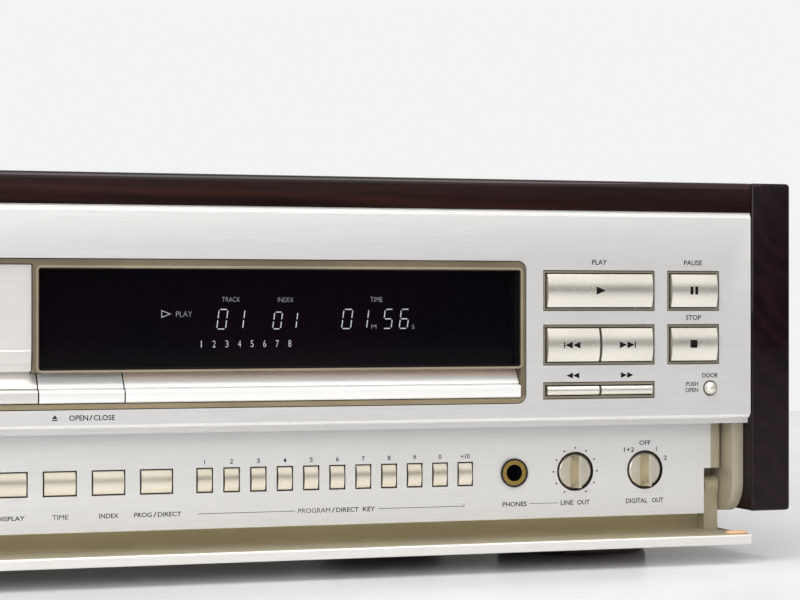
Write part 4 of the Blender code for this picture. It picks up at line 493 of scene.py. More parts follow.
@dataclass(frozen=True)
class CircuitBoard:
    """Lacquered board with copper tracks and soldered pads."""

    lacquer: Colour = seen(38, 88, 52)
    track: Colour = seen(70, 128, 74)
    solder: Colour = seen(190, 192, 190)
    tracks: float = 170.0
    pads: float = 320.0

    def material(self, name: str) -> Material:
        """Makes the material.

        Args:
            name: Its name.

        Returns:
            The material.
        """
        g = Graph.of_material(name)
        track = g.remap(g.cells(self.tracks, distance="CHEBYCHEV"), 0.46, 0.5)
        pad = g.cells(self.pads) < 0.2
        tone = g.mix(track, self.lacquer, self.track)
        return g.surface(
            Base_Color=g.mix(pad, tone, self.solder),
            Metallic=pad * 0.9,
            Roughness=0.42 - pad * 0.12 + track * 0.05,
            Normal=g.bump(track + pad, 0.00003),
        )


@dataclass(frozen=True)
class PrintedInk:
    """Screen-printed ink, a little uneven."""

    tone: Colour = seen(9, 8, 9)
    thin: Colour = seen(17, 15, 15)
    roughness: float = 0.6
    screen: float = 1400.0

    def material(self, name: str) -> Material:
        """Makes the material.

        Args:
            name: Its name.

        Returns:
            The material.
        """
        g = Graph.of_material(name)
        cover = g.spots(self.screen)
        return g.surface(
            Base_Color=g.mix(g.remap(cover, 0.4, 0.7), self.tone, self.thin),
            Roughness=cover * 0.15 + (self.roughness - 0.08),
            Specular_IOR_Level=0.15,
            Normal=g.bump(cover, 0.000004),
        )


@dataclass(frozen=True)
class GlowingGlyph:
    """Lit part of a display tube, seen through its filter."""

    tone: Colour = seen(226, 230, 232)
    edge: Colour = seen(176, 180, 190)
    strength: float = 0.9
    mesh: float = 2600.0

    def material(self, name: str) -> Material:
        """Makes the material.

        Args:
            name: Its name.

        Returns:
            The material.
        """
        g = Graph.of_material(name)
        mesh = g.spots(self.mesh, 1.0)
        tone = g.mix(g.remap(mesh, 0.35, 0.65), self.edge, self.tone)
        return g.surface(
            Base_Color=seen(40, 42, 46),
            Roughness=g.remap(mesh, 0.3, 0.7, 0.3, 0.5),
            Emission_Color=tone,
            Emission_Strength=self.strength,
        )


@dataclass(frozen=True)
class TableTop:
    """Pale laminate with a soft gloss, which keeps the object's shadow."""

    tone: Colour = seen(253, 253, 255)
    mirrored: Colour = seen(110, 108, 106)
    dimming: float = 0.22
    distance_glow: Colour = seen(108, 108, 110)
    glow_from: float = 0.3
    glow_full: float = 0.85
    cloud: float = 5.0

    def material(self, name: str) -> Material:
        """Makes the material.

        Args:
            name: Its name.

        Returns:
            The material.
        """
        g = Graph.of_material(name)
        cloud = g.spots(self.cloud)
        glossy_ray = g.node("ShaderNodeLightPath", output="Is Glossy Ray")
        camera_ray = g.node("ShaderNodeLightPath", output="Is Camera Ray")
        spot = g.stretched((1.0, 1.0, 1.0))
        away = g.node("ShaderNodeVectorMath", {"operation": "LENGTH"}, {0: spot}, "Value")
        far = g.remap(away, self.glow_from, self.glow_full)
        return g.surface(
            Base_Color=g.mix(glossy_ray * self.dimming, self.tone, self.mirrored),
            Emission_Color=g.mix(camera_ray * far, seen(0, 0, 0), self.distance_glow),
            Emission_Strength=1.0,
            Roughness=g.remap(cloud, 0.3, 0.7, 0.16, 0.24),
            Normal=g.bump(cloud, 0.0002),
        )


GAP_SPAN = (-70.0, -25.0)
# Near-black painted shade for the walls of gaps and wells.
GAP_PAINTED_SHADE = Moulded(seen(30, 27, 24), seen(22, 20, 18), 0.5)
BRIGHT = BrushedMetal(seen(247, 246, 242), seen(240, 239, 235), 0.32, Run.ALONG_X, 24.0, 0.000006, 0.35)


def put(x: float, depth: float, z: float) -> Vector:
    """Turns millimetres right of the middle, behind the panel's face and above the table into a place."""
    return Vector((x * MM, FACE_Y + depth * MM, z * MM))


def place_of(point: Vector) -> Place:
    """Gives a point's x, depth and height in millimetres."""
    return (point.x / MM, (point.y - FACE_Y) / MM, point.z / MM)


def link_form(name: str, form: Form) -> bpy.types.Object:
    """Turns a form into an object of the scene.

    Args:
        name: The object's name.
        form: Its shape, which is freed.

    Returns:
        The object.
    """
    mesh = bpy.data.meshes.new(name)
    form.to_mesh(mesh)
    form.free()
    made = bpy.data.objects.new(name, mesh)
    bpy.context.scene.collection.objects.link(made)
    return made


def add_piece(name: str, form: Form, material: Material, body: str, smooth: bool = False) -> None:
    """Turns a form into a piece that rides on a body.

    Args:
        name: The piece's name.
        form: Its shape, which is freed.
        material: Its finish.
        body: The body that it rides on.
        smooth: Whether its faces are shaded smooth.
    """
    piece = link_form(name, form)
    piece.data.materials.append(material)
    if smooth:
        piece.data.shade_smooth()
    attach(piece, body)
    LOG.info("%s: %d faces on %s", name, len(piece.data.polygons), body)


def join_rings(form: Form, rings: Sequence[Sequence[bmesh.types.BMVert]], capped: bool = True) -> None:
    """Joins rings of points, each to the next, with faces that look outwards.

    Args:
        form: The form that holds the points.
        rings: The rings, with as many points each.
        capped: Whether the first and the last ring are filled.
    """
    for lower, upper in zip(rings, rings[1:]):
        for i, point in enumerate(lower):
            j = (i + 1) % len(lower)
            form.faces.new((point, lower[j], upper[j], upper[i]))
    if capped:
        form.faces.new(list(reversed(rings[0])))
        form.faces.new(rings[-1])
    bmesh.ops.recalc_face_normals(form, faces=form.faces)


def dress(nodes: Sequence[str], material: Material, crease: float = 32.0) -> None:
    """Gives solids their finish, smooth across edges flatter than the crease.

    Args:
        nodes: The solids' names.
        material: Their finish.
        crease: The angle in degrees from which an edge stays sharp.
    """
    for name in nodes:
        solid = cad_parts[name]
        mesh = solid.data
        for attribute in ("custom_normal", "sharp_edge", "sharp_face"):
            found = mesh.attributes.get(attribute)
            if found:
                mesh.attributes.remove(found)
        mesh.materials.clear()
        mesh.materials.append(material)
        mesh.shade_smooth()
        weld = solid.modifiers.new("Weld", "WELD")
        weld.merge_threshold = WELD * MM
        split = solid.modifiers.new("Crease", "EDGE_SPLIT")
        split.split_angle = math.radians(crease)
        split.use_edge_sharp = False
        LOG.info("%s: %s", name, material.name)


def dress_each(*rows: tuple[Sequence[str], str, Moulded | PlatedSteel | CircuitBoard]) -> None:
    """Dresses solids by rows of their names, the material's name and its finish."""
    for nodes, name, finish in rows:
        dress(nodes, finish.material(name))


def paint_faces(node: str, material: Material, chosen: Callable[[Place, Vector], bool]) -> None:
    """Gives some faces of a solid a second finish.

    Args:
        node: The solid's name.
        material: The second finish.
        chosen: Says by a face's middle in millimetres and its normal whether it takes it.
    """
    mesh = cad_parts[node].data
    mesh.materials.append(material)
    picked = [face for face in mesh.polygons if chosen(place_of(face.center), face.normal)]
    for face in picked:
        face.material_index = len(mesh.materials) - 1
    LOG.info("%s: %d faces in %s", node, len(picked), material.name)


def looks_into_gap(place: Place, normal: Vector) -> bool:
    """Chooses the faces that look sideways into the gaps beside the bar's end piece."""
    return abs(normal.x) > 0.8 and GAP_SPAN[0] < place[0] < GAP_SPAN[1]


def rectangle(low_x: float, low_z: float, high_x: float, high_z: float) -> tuple[Point, ...]:
    """Gives the corners of a rectangle."""
    return ((low_x, low_z), (high_x, low_z), (high_x, high_z), (low_x, high_z))


def arrow(base: float, tip: float, z: float, half: float) -> tuple[Point, ...]:
    """Gives the corners of a triangle that points along X from its base to its tip."""
    return ((base, z - half), (tip, z), (base, z + half))


class Facing(Enum):
    """The way that a flat marking looks, as the way that its words run along X."""

    FRONT = 1
    BACK = -1


class Stencil:
    """Flat markings that are gathered into one piece."""

    LIFT = 0.03
    WEIGHT = 0.014
    SLICE = 0.3
    SKIN = 0.06
    CLEAR = 20.0

    def __init__(self, level: float, facing: Facing = Facing.FRONT) -> None:
        """Starts empty.

        Args:
            level: What carries it, in millimetres behind the panel's face.
            facing: The way that it looks.
        """
        self.form = bmesh.new()
        self.level = level
        self.way = facing.value

    def spot(self, x: float, z: float) -> Vector:
        """Gives the place of a point of the marking, lifted off what carries it."""
        return put(x, self.level - self.LIFT * self.way, z)

    def polygons(self, *outlines: Sequence[Point]) -> None:
        """Adds filled outlines.

        Args:
            *outlines: Each outline's points in millimetres.
        """
        for points in outlines:
            face = self.form.faces.new([self.form.verts.new(self.spot(x, z)) for x, z in points])
            face.normal_update()
            if face.normal.y * self.way > 0:
                face.normal_flip()

    def dot(self, x: float, z: float, radius: float, steps: int = 14) -> None:
        """Adds a filled disc."""
        turns = [math.tau * i / steps for i in range(steps)]
        self.polygons([(x + radius * math.cos(turn), z + radius * math.sin(turn)) for turn in turns])

    def words(self, lines: Lines, weight: float = WEIGHT) -> None:
        """Adds plain words and numbers.

        Args:
            lines: By a line's middle and its height, each word with its own middle and its width,
                or 0 to keep the type's own.
            weight: How far the strokes are thickened, in type units. An M would close up, so a
                word with one is never thickened.
        """
        rows = [(*word, *line) for line, words in lines.items() for word in words]
        for text, x, width, z, height in rows:
            curve = bpy.data.curves.new("word", "FONT")
            curve.body = text
            curve.resolution_u = 3
            curve.offset = min(weight, 0.0) if "M" in text else weight
            holder = bpy.data.objects.new("word", curve)
            mesh = bpy.data.meshes.new_from_object(holder)
            xs, ys = ([vertex.co[axis] for vertex in mesh.vertices] for axis in (0, 1))
            tall = height / (max(ys) - min(ys))
            wide = width / (max(xs) - min(xs)) if width else tall
            middle_x, middle_y = (max(xs) + min(xs)) / 2, (max(ys) + min(ys)) / 2
            for vertex in mesh.vertices:
                step = (vertex.co.x - middle_x) * wide * self.way
                vertex.co = self.spot(x + step, z + (vertex.co.y - middle_y) * tall)
            self.form.from_mesh(mesh)
            bpy.data.objects.remove(holder)
            bpy.data.curves.remove(curve)
            bpy.data.meshes.remove(mesh)

    def press_onto(self, node: str) -> None:
        """Lays the markings on a curved face, in slices that follow it.

        Args:
            node: The solid that has the face.
        """
        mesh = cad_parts[node].data
        corners = [tuple(face.vertices) for face in mesh.polygons]
        tree = BVHTree.FromPolygons([vertex.co for vertex in mesh.vertices], corners)
        heights = [vertex.co.z for vertex in self.form.verts]
        low, tall = min(heights), max(heights) - min(heights)
        slices = math.ceil(tall / (self.SLICE * MM))
        for i in range(1, slices):
            parts = [*self.form.verts, *self.form.edges, *self.form.faces]
            level = (0, 0, low + tall * i / slices)
            bmesh.ops.bisect_plane(self.form, geom=parts, plane_co=level, plane_no=(0, 0, 1))
        for vertex in self.form.verts:
            start = Vector((vertex.co.x, FACE_Y - self.CLEAR * MM, vertex.co.z))
            hit = tree.ray_cast(start, Vector((0, 1, 0)))[0]
            if hit is not None:
                vertex.co.y = hit.y - self.SKIN * MM

    def finish(
        self, name: str, material: Material, body: str = "case", slot: Slot = Slot.BLACK_PLASTIC
    ) -> None:
        """Makes the piece."""
        add_piece(name, self.form, material, body)


def rectangle_rings(
    low: Point, high: Point, profile: Sequence[Point], radius: float = 0.6, steps: int = 3
) -> Form:
    """Sweeps a profile round a rectangle.

    Args:
        low: Lowest x and z of the rectangle in millimetres.
        high: Highest x and z.
        profile: Points of the section, each how far outside the rectangle and how far back.
        radius: Corner radius at the rectangle.
        steps: Faces in each corner.

    Returns:
        The swept form.
    """
    form = bmesh.new()
    rings = []
    for out, depth in profile:
        ring = []
        corner = max(radius + out, 0.05)
        left, foot = low[0] - out + corner, low[1] - out + corner
        right, top = high[0] + out - corner, high[1] + out - corner
        for quarter, (x, z) in enumerate(((right, top), (left, top), (left, foot), (right, foot))):
            for i in range(steps + 1):
                angle = math.tau / 4 * (quarter + i / steps)
                rim = put(x + corner * math.cos(angle), depth, z + corner * math.sin(angle))
                ring.append(form.verts.new(rim))
        rings.append(ring)
    join_rings(form, rings, False)
    return form


@dataclass
class Screws:
    """Pan-head screws with a cross recess."""

    head: float = 2.9
    rise: float = 1.5
    wall: float = 0.35
    sides: int = 20
    cross: float = 1.7
    arm: float = 0.34
    sink: float = 0.9
    spin: float = 37.0
    neck: float = 0.55
    flat: float = 0.12
    fullness: float = 0.6

    def _dome(self) -> Form:
        """Turns the section of a head about its axis.

        Returns:
            The head without its cross.
        """
        crown = [(self.head * self.neck, 0.0), (self.head, 0.0), (self.head, self.wall * self.rise)]
        for i in range(1, 5):
            angle = math.pi / 2 * i / 5
            height = self.wall + (1.0 - self.wall) * math.sin(angle)
            crown.append((self.head * math.cos(angle) ** self.fullness, self.rise * height))
        crown.append((self.head * self.flat, self.rise))
        form = bmesh.new()
        turns = [math.tau * i / self.sides for i in range(self.sides)]
        rings = []
        for radius, height in crown:
            ring = [Vector((radius * math.cos(turn), radius * math.sin(turn), height)) for turn in turns]
            rings.append([form.verts.new(point * MM) for point in ring])
        join_rings(form, rings)
        return form

    def _cutter(self, half_x: float, half_y: float) -> bpy.types.Object:
        """Makes the tool for one bar of the cross.

        Args:
            half_x: Half its length along X.
            half_y: Half its length along Y.

        Returns:
            The tool.
        """
        form = bmesh.new()
        bmesh.ops.create_cube(form, size=1.0)
        scale = Matrix.Diagonal((2 * half_x * MM, 2 * half_y * MM, 2 * self.sink * MM, 1.0))
        matrix = Matrix.Translation((0, 0, self.rise * MM)) @ scale
        bmesh.ops.transform(form, matrix=matrix, verts=form.verts)
        return link_form("cross", form)

    def head_mesh(self) -> bpy.types.Mesh:
        """Cuts the cross into one domed head.

        Returns:
            The head's mesh.
        """
        head = link_form("screw_head", self._dome())
        tools = [self._cutter(self.cross, self.arm), self._cutter(self.arm, self.cross)]
        for tool in tools:
            cut = head.modifiers.new("Cross", "BOOLEAN")
            cut.operation = "DIFFERENCE"
            cut.solver = "EXACT"
            cut.object = tool
        bpy.context.view_layer.update()
        graph = bpy.context.evaluated_depsgraph_get()
        done = bpy.data.meshes.new_from_object(head.evaluated_get(graph))
        for leftover in (head, *tools):
            bpy.data.objects.remove(leftover)
        return done

    def place(self, name: str, spots: Sequence[Vector], axis: Vector, material: Material) -> None:
        """Sets heads on the spots of the case, each turned by its own amount.

        Args:
            name: The piece's name.
            spots: The feet of the heads in metres.
            axis: The way that the heads look.
            material: Their finish.
        """
        head = self.head_mesh()
        form = bmesh.new()
        aim = axis.to_track_quat("Z", "Y").to_matrix().to_4x4()
        for number, spot in enumerate(spots):
            copy = head.copy()
            spin = Matrix.Rotation(math.radians(self.spin * number), 4, "Z")
            copy.transform(Matrix.Translation(spot) @ aim @ spin)
            form.from_mesh(copy)
            bpy.data.meshes.remove(copy)
        add_piece(name, form, material, "case")


@dataclass
class WoodCase:
    """Lid and sides in gloss rosewood."""

    crease: float = 40.0

    def dress(self) -> None:
        """Gives the lid a grain from side to side, and the sides one from front to back, in a darker tone as
        painted shade.
        """
        dress(["wood_lid"], GlossRosewood().material("rosewood_lid"), self.crease)
        # The sides take a darker copy of the lid's rosewood as painted shade.
        sides = GlossRosewood(Run.ALONG_Y, seen(12, 3, 6), seen(23, 8, 11), seen(38, 16, 17), 0.25)
        dress(["wood_side_left", "wood_side_right"], sides.material("rosewood_sides_painted_shade"), self.crease)


@dataclass
class FrontPanel:
    """The thick panel with its words, and the power button's word."""

    face: float = 0.0
    chamfer_from: float = 130.0
    lip: Point = (57.2, 58.85)
    lip_back: float = 3.0

    WORDS = {
        (118.4, 1.95): (("PLAY", 155.3, 6.3), ("PAUSE", 195.0, 7.8)),
        (97.0, 1.95): (("STOP", 195.2, 6.5),),
        (74.3, 1.794): (("DOOR", 202.4, 6.8),),
        (71.0, 1.6575): (("PUSH", 194.6, 5.2),),
        (68.6, 1.6575): (("OPEN", 194.5, 5.6),),
        (96.8, 1.95): (("POWER", -209.5, 8.8),),
        (61.4, 1.95): (("OPEN", -47.3, 6.9), ("/", -42.9, 1.2), ("CLOSE", -38.0, 7.7)),
    }
    OPEN_SIGN = (
        ((-56.9, 61.2), (-54.9, 61.2), (-55.9, 62.5)),
        rectangle(-56.9, 60.5, -54.9, 60.92),
    )
    SEARCH_SIGNS = tuple(
        arrow(base, tip, 74.75, 1.15)
        for base, tip in ((144.2, 141.6), (146.85, 144.25), (164.3, 166.9), (166.95, 169.55))
    )

    def dress(self) -> None:
        """Gives the panel its brushed finish, and its edges a painted highlight: a lighter colour on a
        smoother finish.
        """
        dress(["front_panel"], BrushedMetal().material("brushed_aluminium"))

        def on_edge(place: Place, normal: Vector) -> bool:
            """Chooses the chamfer at the top and the stepped lip at the foot."""
            in_lip = self.lip[0] < place[2] < self.lip[1] and place[1] < self.lip_back
            return normal.z > 0.2 and normal.y < -0.1 if place[2] > self.chamfer_from else in_lip

        # Chamfer and lip take a painted highlight, lighter in colour and smoother.
        bright = replace(BRIGHT, light=seen(240, 239, 236), dark=seen(234, 233, 229), roughness=0.28)
        paint_faces("front_panel", bright.material("edge_painted_highlight"), on_edge)

    def mark(self, ink: Material) -> None:
        """Prints the words and signs that stand on the panel.

        Args:
            ink: Their ink.
        """
        plate = Stencil(self.face)
        plate.words(self.WORDS)
        plate.polygons(*self.OPEN_SIGN)
        plate.finish("panel_words", ink)
        search = Stencil(self.face)
        search.polygons(*self.SEARCH_SIGNS)
        search.finish("search_signs", ink)


@dataclass
class DisplayWindow:
    """Lining, glass, bar and the lit signs."""

    glass_y: float = 5.5
    glass_low: Point = (-61.2, 78.9)
    glass_high: Point = (122.6, 114.9)
    stroke: float = 0.36
    break_share: float = 1.15
    slant: float = 0.13
    digits_foot: float = 93.1
    thin: float = -0.02
    thin_numbers: float = -0.01
    sill_top: float = 67.0
    painted_reflection_from: float = 0.0746

    SEGMENTS = {"0": "abcdef", "1": "bc", "5": "acdfg", "6": "acdefg"}
    DIGITS = (
        ("0", 4.9, 3.3, 7.2), ("1", 11.5, 3.2, 7.2),
        ("0", 26.2, 3.0, 6.2), ("1", 32.2, 2.9, 6.2),
        ("0", 52.9, 3.5, 7.2), ("1", 59.3, 3.4, 7.2), ("5", 69.2, 3.2, 7.2), ("6", 75.6, 3.2, 7.2),
    )
    WORDS = {
        (104.0, 1.75): (("TRACK", 10.3, 6.8),),
        (103.9, 1.7): (("INDEX", 31.2, 6.0),),
        (104.0, 1.8): (("TIME", 66.6, 4.8),),
        (98.6, 2.0): (("PLAY", -7.4, 6.0),),
        (93.8, 1.5): (("M", 65.6, 1.9),),
        (93.7, 1.5): (("S", 81.2, 1.1),),
    }
    SIGN_OUTER = arrow(-15.9, -12.1, 98.65, 1.45)
    SIGN_INNER = arrow(-15.6, -13.0, 98.65, 1.0)
    NUMBERS = {(87.6, 2.5): tuple((str(i + 1), -0.9 + 4.81 * i, 1.15 if i else 0.0) for i in range(8))}
    SHADE_PROFILE = ((-0.3, 5.3), (0.0, 4.6), (0.35, 0.95), (0.8, 0.8))
    RIM_PROFILE = ((0.4, 0.95), (0.5, 0.52), (1.1, 0.45), (1.3, 0.58))

    def dress(self) -> None:
        """Gives the window's parts their finishes."""
        lining = Moulded(seen(122, 109, 88), seen(104, 92, 73), 0.42, 1500.0, 0.00001, 0.25)
        dress(["window_frame"], lining.material("olive_lining"))
        # The sill below the bar takes a lighter olive as painted light.
        sill = replace(lining, tone=seen(158, 144, 116), shade=seen(140, 126, 99))
        paint_faces("window_frame", sill.material("olive_sill_painted_light"), lambda place, _: place[2] < self.sill_top)
        dress(["display_glass"], SmokedGlass().material("smoked_glass"))
        dress(["open_close_button"], BRIGHT.material("bright_bar"))
        # The bar's upper slope takes a warm painted reflection above this height.
        reflected_bar = replace(BRIGHT, painted_reflection=seen(253, 232, 216), painted_reflection_from=self.painted_reflection_from, metallic=0.25)
        dress(["window_bar"], reflected_bar.material("bright_bar_painted_reflection"))
        # Faces that look into the gaps take painted shade.
        dark = GAP_PAINTED_SHADE.material("gap_painted_shade")
        for node in ("window_bar", "open_close_button"):
            paint_faces(node, dark, looks_into_gap)

    def build(self) -> None:
        """Adds the black shade that leads to the glass, and its pale rim."""
        shade = rectangle_rings(self.glass_low, self.glass_high, self.SHADE_PROFILE)
        black = Moulded(seen(16, 13, 15), seen(11, 9, 11), 0.3, 1500.0)
        add_piece("display_shade", shade, black.material("shade_black"), "case")
        rim = rectangle_rings(self.glass_low, self.glass_high, self.RIM_PROFILE)
        edge = Moulded(seen(150, 138, 116), seen(134, 122, 102), 0.4, 1500.0)
        add_piece("display_surround", rim, edge.material("surround_rim"), "case")

    def _segment(self, letter: str, left: float, right: float, top: float) -> list[Point]:
        """Gives the outline of one lit segment.

        Args:
            letter: The segment's letter, a to g as usual.
            left: The digit's left side.
            right: Its right side.
            top: Its top.

        Returns:
            The slanted outline's points.
        """
        low = self.digits_foot
        middle = (low + top) / 2
        half = self.stroke / 2
        gap = self.stroke * self.break_share
        upright = {"f": (left, middle, top), "b": (right, middle, top)}
        upright |= {"e": (left, low, middle), "c": (right, low, middle)}
        if letter in upright:
            x, foot, head = upright[letter]
            outline = rectangle(x - half, foot + gap, x + half, head - gap)
        else:
            z = {"a": top, "g": middle, "d": low}[letter]
            outline = rectangle(left + gap, z - half, right - gap, z + half)
        return [(x + (z - low) * self.slant, z) for x, z in outline]

    def light(self) -> None:
        """Adds the digits, words and numbers that the display shows."""
        digits = Stencil(self.glass_y)
        for digit, left, wide, tall in self.DIGITS:
            for letter in self.SEGMENTS[digit]:
                digits.polygons(self._segment(letter, left, left + wide, self.digits_foot + tall))
        digits.finish("display_digits", GlowingGlyph().material("lit_digits"), "case", Slot.PALE_PLASTIC)
        words = Stencil(self.glass_y)
        words.words(self.WORDS, self.thin)
        outer, inner = self.SIGN_OUTER, self.SIGN_INNER
        for i in range(3):
            words.polygons((outer[i - 1], outer[i], inner[i], inner[i - 1]))
        soft = GlowingGlyph(seen(190, 192, 200), seen(140, 142, 152), 0.75).material("lit_words")
        words.finish("display_words", soft, "case", Slot.PALE_PLASTIC)
        numbers = Stencil(self.glass_y)
        numbers.words(self.NUMBERS, self.thin_numbers)
        full = GlowingGlyph(seen(222, 226, 228), seen(180, 184, 190), 0.85).material("lit_numbers")
        numbers.finish("display_numbers", full, "case", Slot.PALE_PLASTIC)


@dataclass
class TransportControls:
    """Buttons right of the window, with their signs."""

    front: float = -0.4
    rim_back: float = 1.5

    BUTTONS = ("play", "pause", "stop", "previous", "next", "search_back", "search_forward", "door", "power")
    SIGNS = {
        "play": (arrow(153.3, 157.0, 107.45, 1.55),),
        "pause": (rectangle(193.0, 106.0, 194.25, 109.1), rectangle(195.05, 106.0, 196.3, 109.1)),
        "stop": (rectangle(193.0, 85.2, 196.0, 88.25),),
        "previous": (
            rectangle(139.8, 85.3, 140.2, 87.7),
            arrow(143.3, 140.3, 86.5, 1.3),
            arrow(146.5, 143.5, 86.5, 1.3),
        ),
        "next": (
            arrow(163.0, 166.0, 86.5, 1.3),
            arrow(166.2, 169.2, 86.5, 1.3),
            rectangle(169.3, 85.3, 169.7, 87.7),
        ),
    }

    def dress(self) -> None:
        """Gives bezel and buttons their finishes."""
        satin = SatinMetal(seen(240, 235, 224), seen(233, 228, 217), 0.27).material("satin_buttons")
        dress([f"{name}_button" for name in self.BUTTONS], satin)
        rim = Moulded(seen(150, 142, 124), seen(132, 124, 106), 0.4, 1500.0, 0.00001, 0.3)
        dress(["transport_bezel"], rim.material("bezel_champagne"))

        def is_wall(place: Place, normal: Vector) -> bool:
            """Chooses the walls and floors beside the buttons."""
            return abs(normal.y) < 0.5 or place[1] > self.rim_back

        # The walls and floors beside the buttons take painted shade.
        shade = Moulded(seen(34, 30, 26), seen(26, 23, 20), 0.5).material("bezel_painted_shade")
        paint_faces("transport_bezel", shade, is_wall)

    def mark(self, ink: Material) -> None:
        """Prints the signs on the buttons.

        Args:
            ink: Their ink.
        """
        for name, outlines in self.SIGNS.items():
            sign = Stencil(self.front)
            sign.polygons(*outlines)
            sign.press_onto(f"{name}_button")
            sign.finish(f"{name}_sign", ink, f"{name}_button")


@dataclass
class KeyBay:
    """Plate, keys, jack and knobs behind the flap."""

    plate_y: float = 14.5
    hole_back: float = 14.6
    holes_to: float = 195.0
    holes_z: Point = (26.0, 47.0)
    first_number_x: float = 2.5
    number_step: float = 10.29
    number_z: float = 43.6
    number_wide: float = 1.2
    number_tall: float = 1.75
    jack: Point = (125.5, 36.75)
    ring: Point = (3.1, 5.0)
    ring_back: float = 16.0
    knob: Point = (151.2, 36.75)
    disc_y: float = 14.2
    scale_radius: float = 9.2
    scale_dot: float = 0.36

    KNOBS = ("line_out_knob", "digital_out_knob")
    WORDS = {
        (24.6, 1.7): (
            ("REPEAT", -87.4, 9.0), ("DISPLAY", -69.4, 10.2), ("TIME", -51.4, 5.9),
            ("INDEX", -33.5, 7.2), ("PROG", -20.8, 6.6), ("DIRECT", -10.8, 8.8),
        ),
        (24.6, 1.9): (("/", -16.3, 1.2),),
        (24.4, 1.75): (("PROGRAM", 44.9, 12.6), ("DIRECT", 57.95, 8.9), ("KEY", 66.5, 4.8)),
        (24.4, 1.9): (("/", 52.4, 1.2),),
        (24.6, 1.85): (
            ("PHONES", 125.8, 10.0), ("LINE", 147.7, 5.2), ("OUT", 154.7, 5.3),
            ("DIGITAL", 177.4, 9.2), ("OUT", 186.5, 4.9),
        ),
        (47.4, 1.85): (("OFF", 181.0, 4.8),),
        (44.8, 1.8): (("1+2", 174.2, 4.4),),
        (44.9, 1.75): (("1", 186.0, 0.0),),
        (41.3, 1.75): (("2", 189.8, 1.4),),
    }
    RULES = (
        rectangle(0.0, 24.3, 37.4, 24.5),
        rectangle(70.2, 24.3, 105.0, 24.5),
        rectangle(104.8, 24.3, 105.0, 25.5),
        rectangle(131.9, 24.5, 144.2, 24.68),
    )

    def dress(self) -> None:
        """Gives the plate, keys, jack and knobs their finishes."""
        # The plate's aluminium is lighter than the panel's as painted light against the shade under the lip.
        plate = BrushedMetal(seen(240, 239, 237), seen(230, 229, 226), strokes=32.0, metallic=0.5)
        dress(["key_panel"], plate.material("brushed_plate_painted_light"))

        def in_hole(place: Place, normal: Vector) -> bool:
            """Chooses the walls of the plate's holes."""
            inside = abs(place[0]) < self.holes_to and self.holes_z[0] < place[2] < self.holes_z[1]
            return inside and (place[1] > self.hole_back or abs(normal.y) < 0.6)

        # The walls of the plate's holes take painted shade.
        paint_faces("key_panel", GAP_PAINTED_SHADE.material("well_painted_shade"), in_hole)
        satin = SatinMetal(seen(242, 234, 216), seen(236, 227, 208), 0.27, 0.75)
        keys = ["repeat_key", "display_key", "time_key", "index_key", "program_key"]
        keys += [f"number_key_{number}" for number in range(11)]
        dress(keys, satin.material("satin_keys"))
        knobs = replace(satin, tone=seen(230, 223, 206), shade=seen(222, 215, 197))
        dress(self.KNOBS, knobs.material("satin_knobs"), crease=28.0)

        def on_flank(place: Place, normal: Vector) -> bool:
            """Chooses the sides of a knob's grip bar."""
            return place[1] < self.disc_y and abs(normal.x) > 0.6

        # The grip bar's sides take a darker copy of the satin as painted shade.
        flank = replace(satin, tone=seen(192, 180, 152), shade=seen(184, 172, 144)).material("knob_flanks_painted_shade")
        for node in self.KNOBS:
            paint_faces(node, flank, on_flank)
        beige = Moulded(seen(190, 181, 160), seen(178, 169, 147), 0.42, 1500.0, 0.00001, 0.35)
        dress_each(
            (["headphone_jack"], "jack_black", Moulded(seen(26, 24, 24), seen(18, 17, 17), 0.35)),
            (["front_frame"], "beige_frame", beige),
        )

        def on_ring(place: Place, normal: Vector) -> bool:
            """Chooses the ring between bore and rim."""
            reach = math.hypot(place[0] - self.jack[0], place[2] - self.jack[1])
            return self.ring[0] < reach < self.ring[1] and place[1] < self.ring_back and normal.y < -0.2

        gold = SatinMetal(seen(206, 178, 104), seen(186, 156, 84), 0.25, 1.0)
        paint_faces("headphone_jack", gold.material("gold_ring"), on_ring)

    def mark(self, ink: Material) -> None:
        """Prints the words and numbers round the keys.

        Args:
            ink: Their ink.
        """
        plate = Stencil(self.plate_y)
        numbers = []
        for i, name in enumerate([*"1234567890", "+10"]):
            width = 0.0 if name == "1" else self.number_wide * len(name)
            numbers.append((name, self.first_number_x + self.number_step * i, width))
        plate.words({(self.number_z, self.number_tall): numbers})
        plate.words(self.WORDS)
        plate.polygons(*self.RULES)
        for angle in (math.radians(degrees) for degrees in range(-150, 151, 30)):
            x = self.knob[0] + self.scale_radius * math.sin(angle)
            plate.dot(x, self.knob[1] + self.scale_radius * math.cos(angle), self.scale_dot)
        plate.finish("key_words", ink)


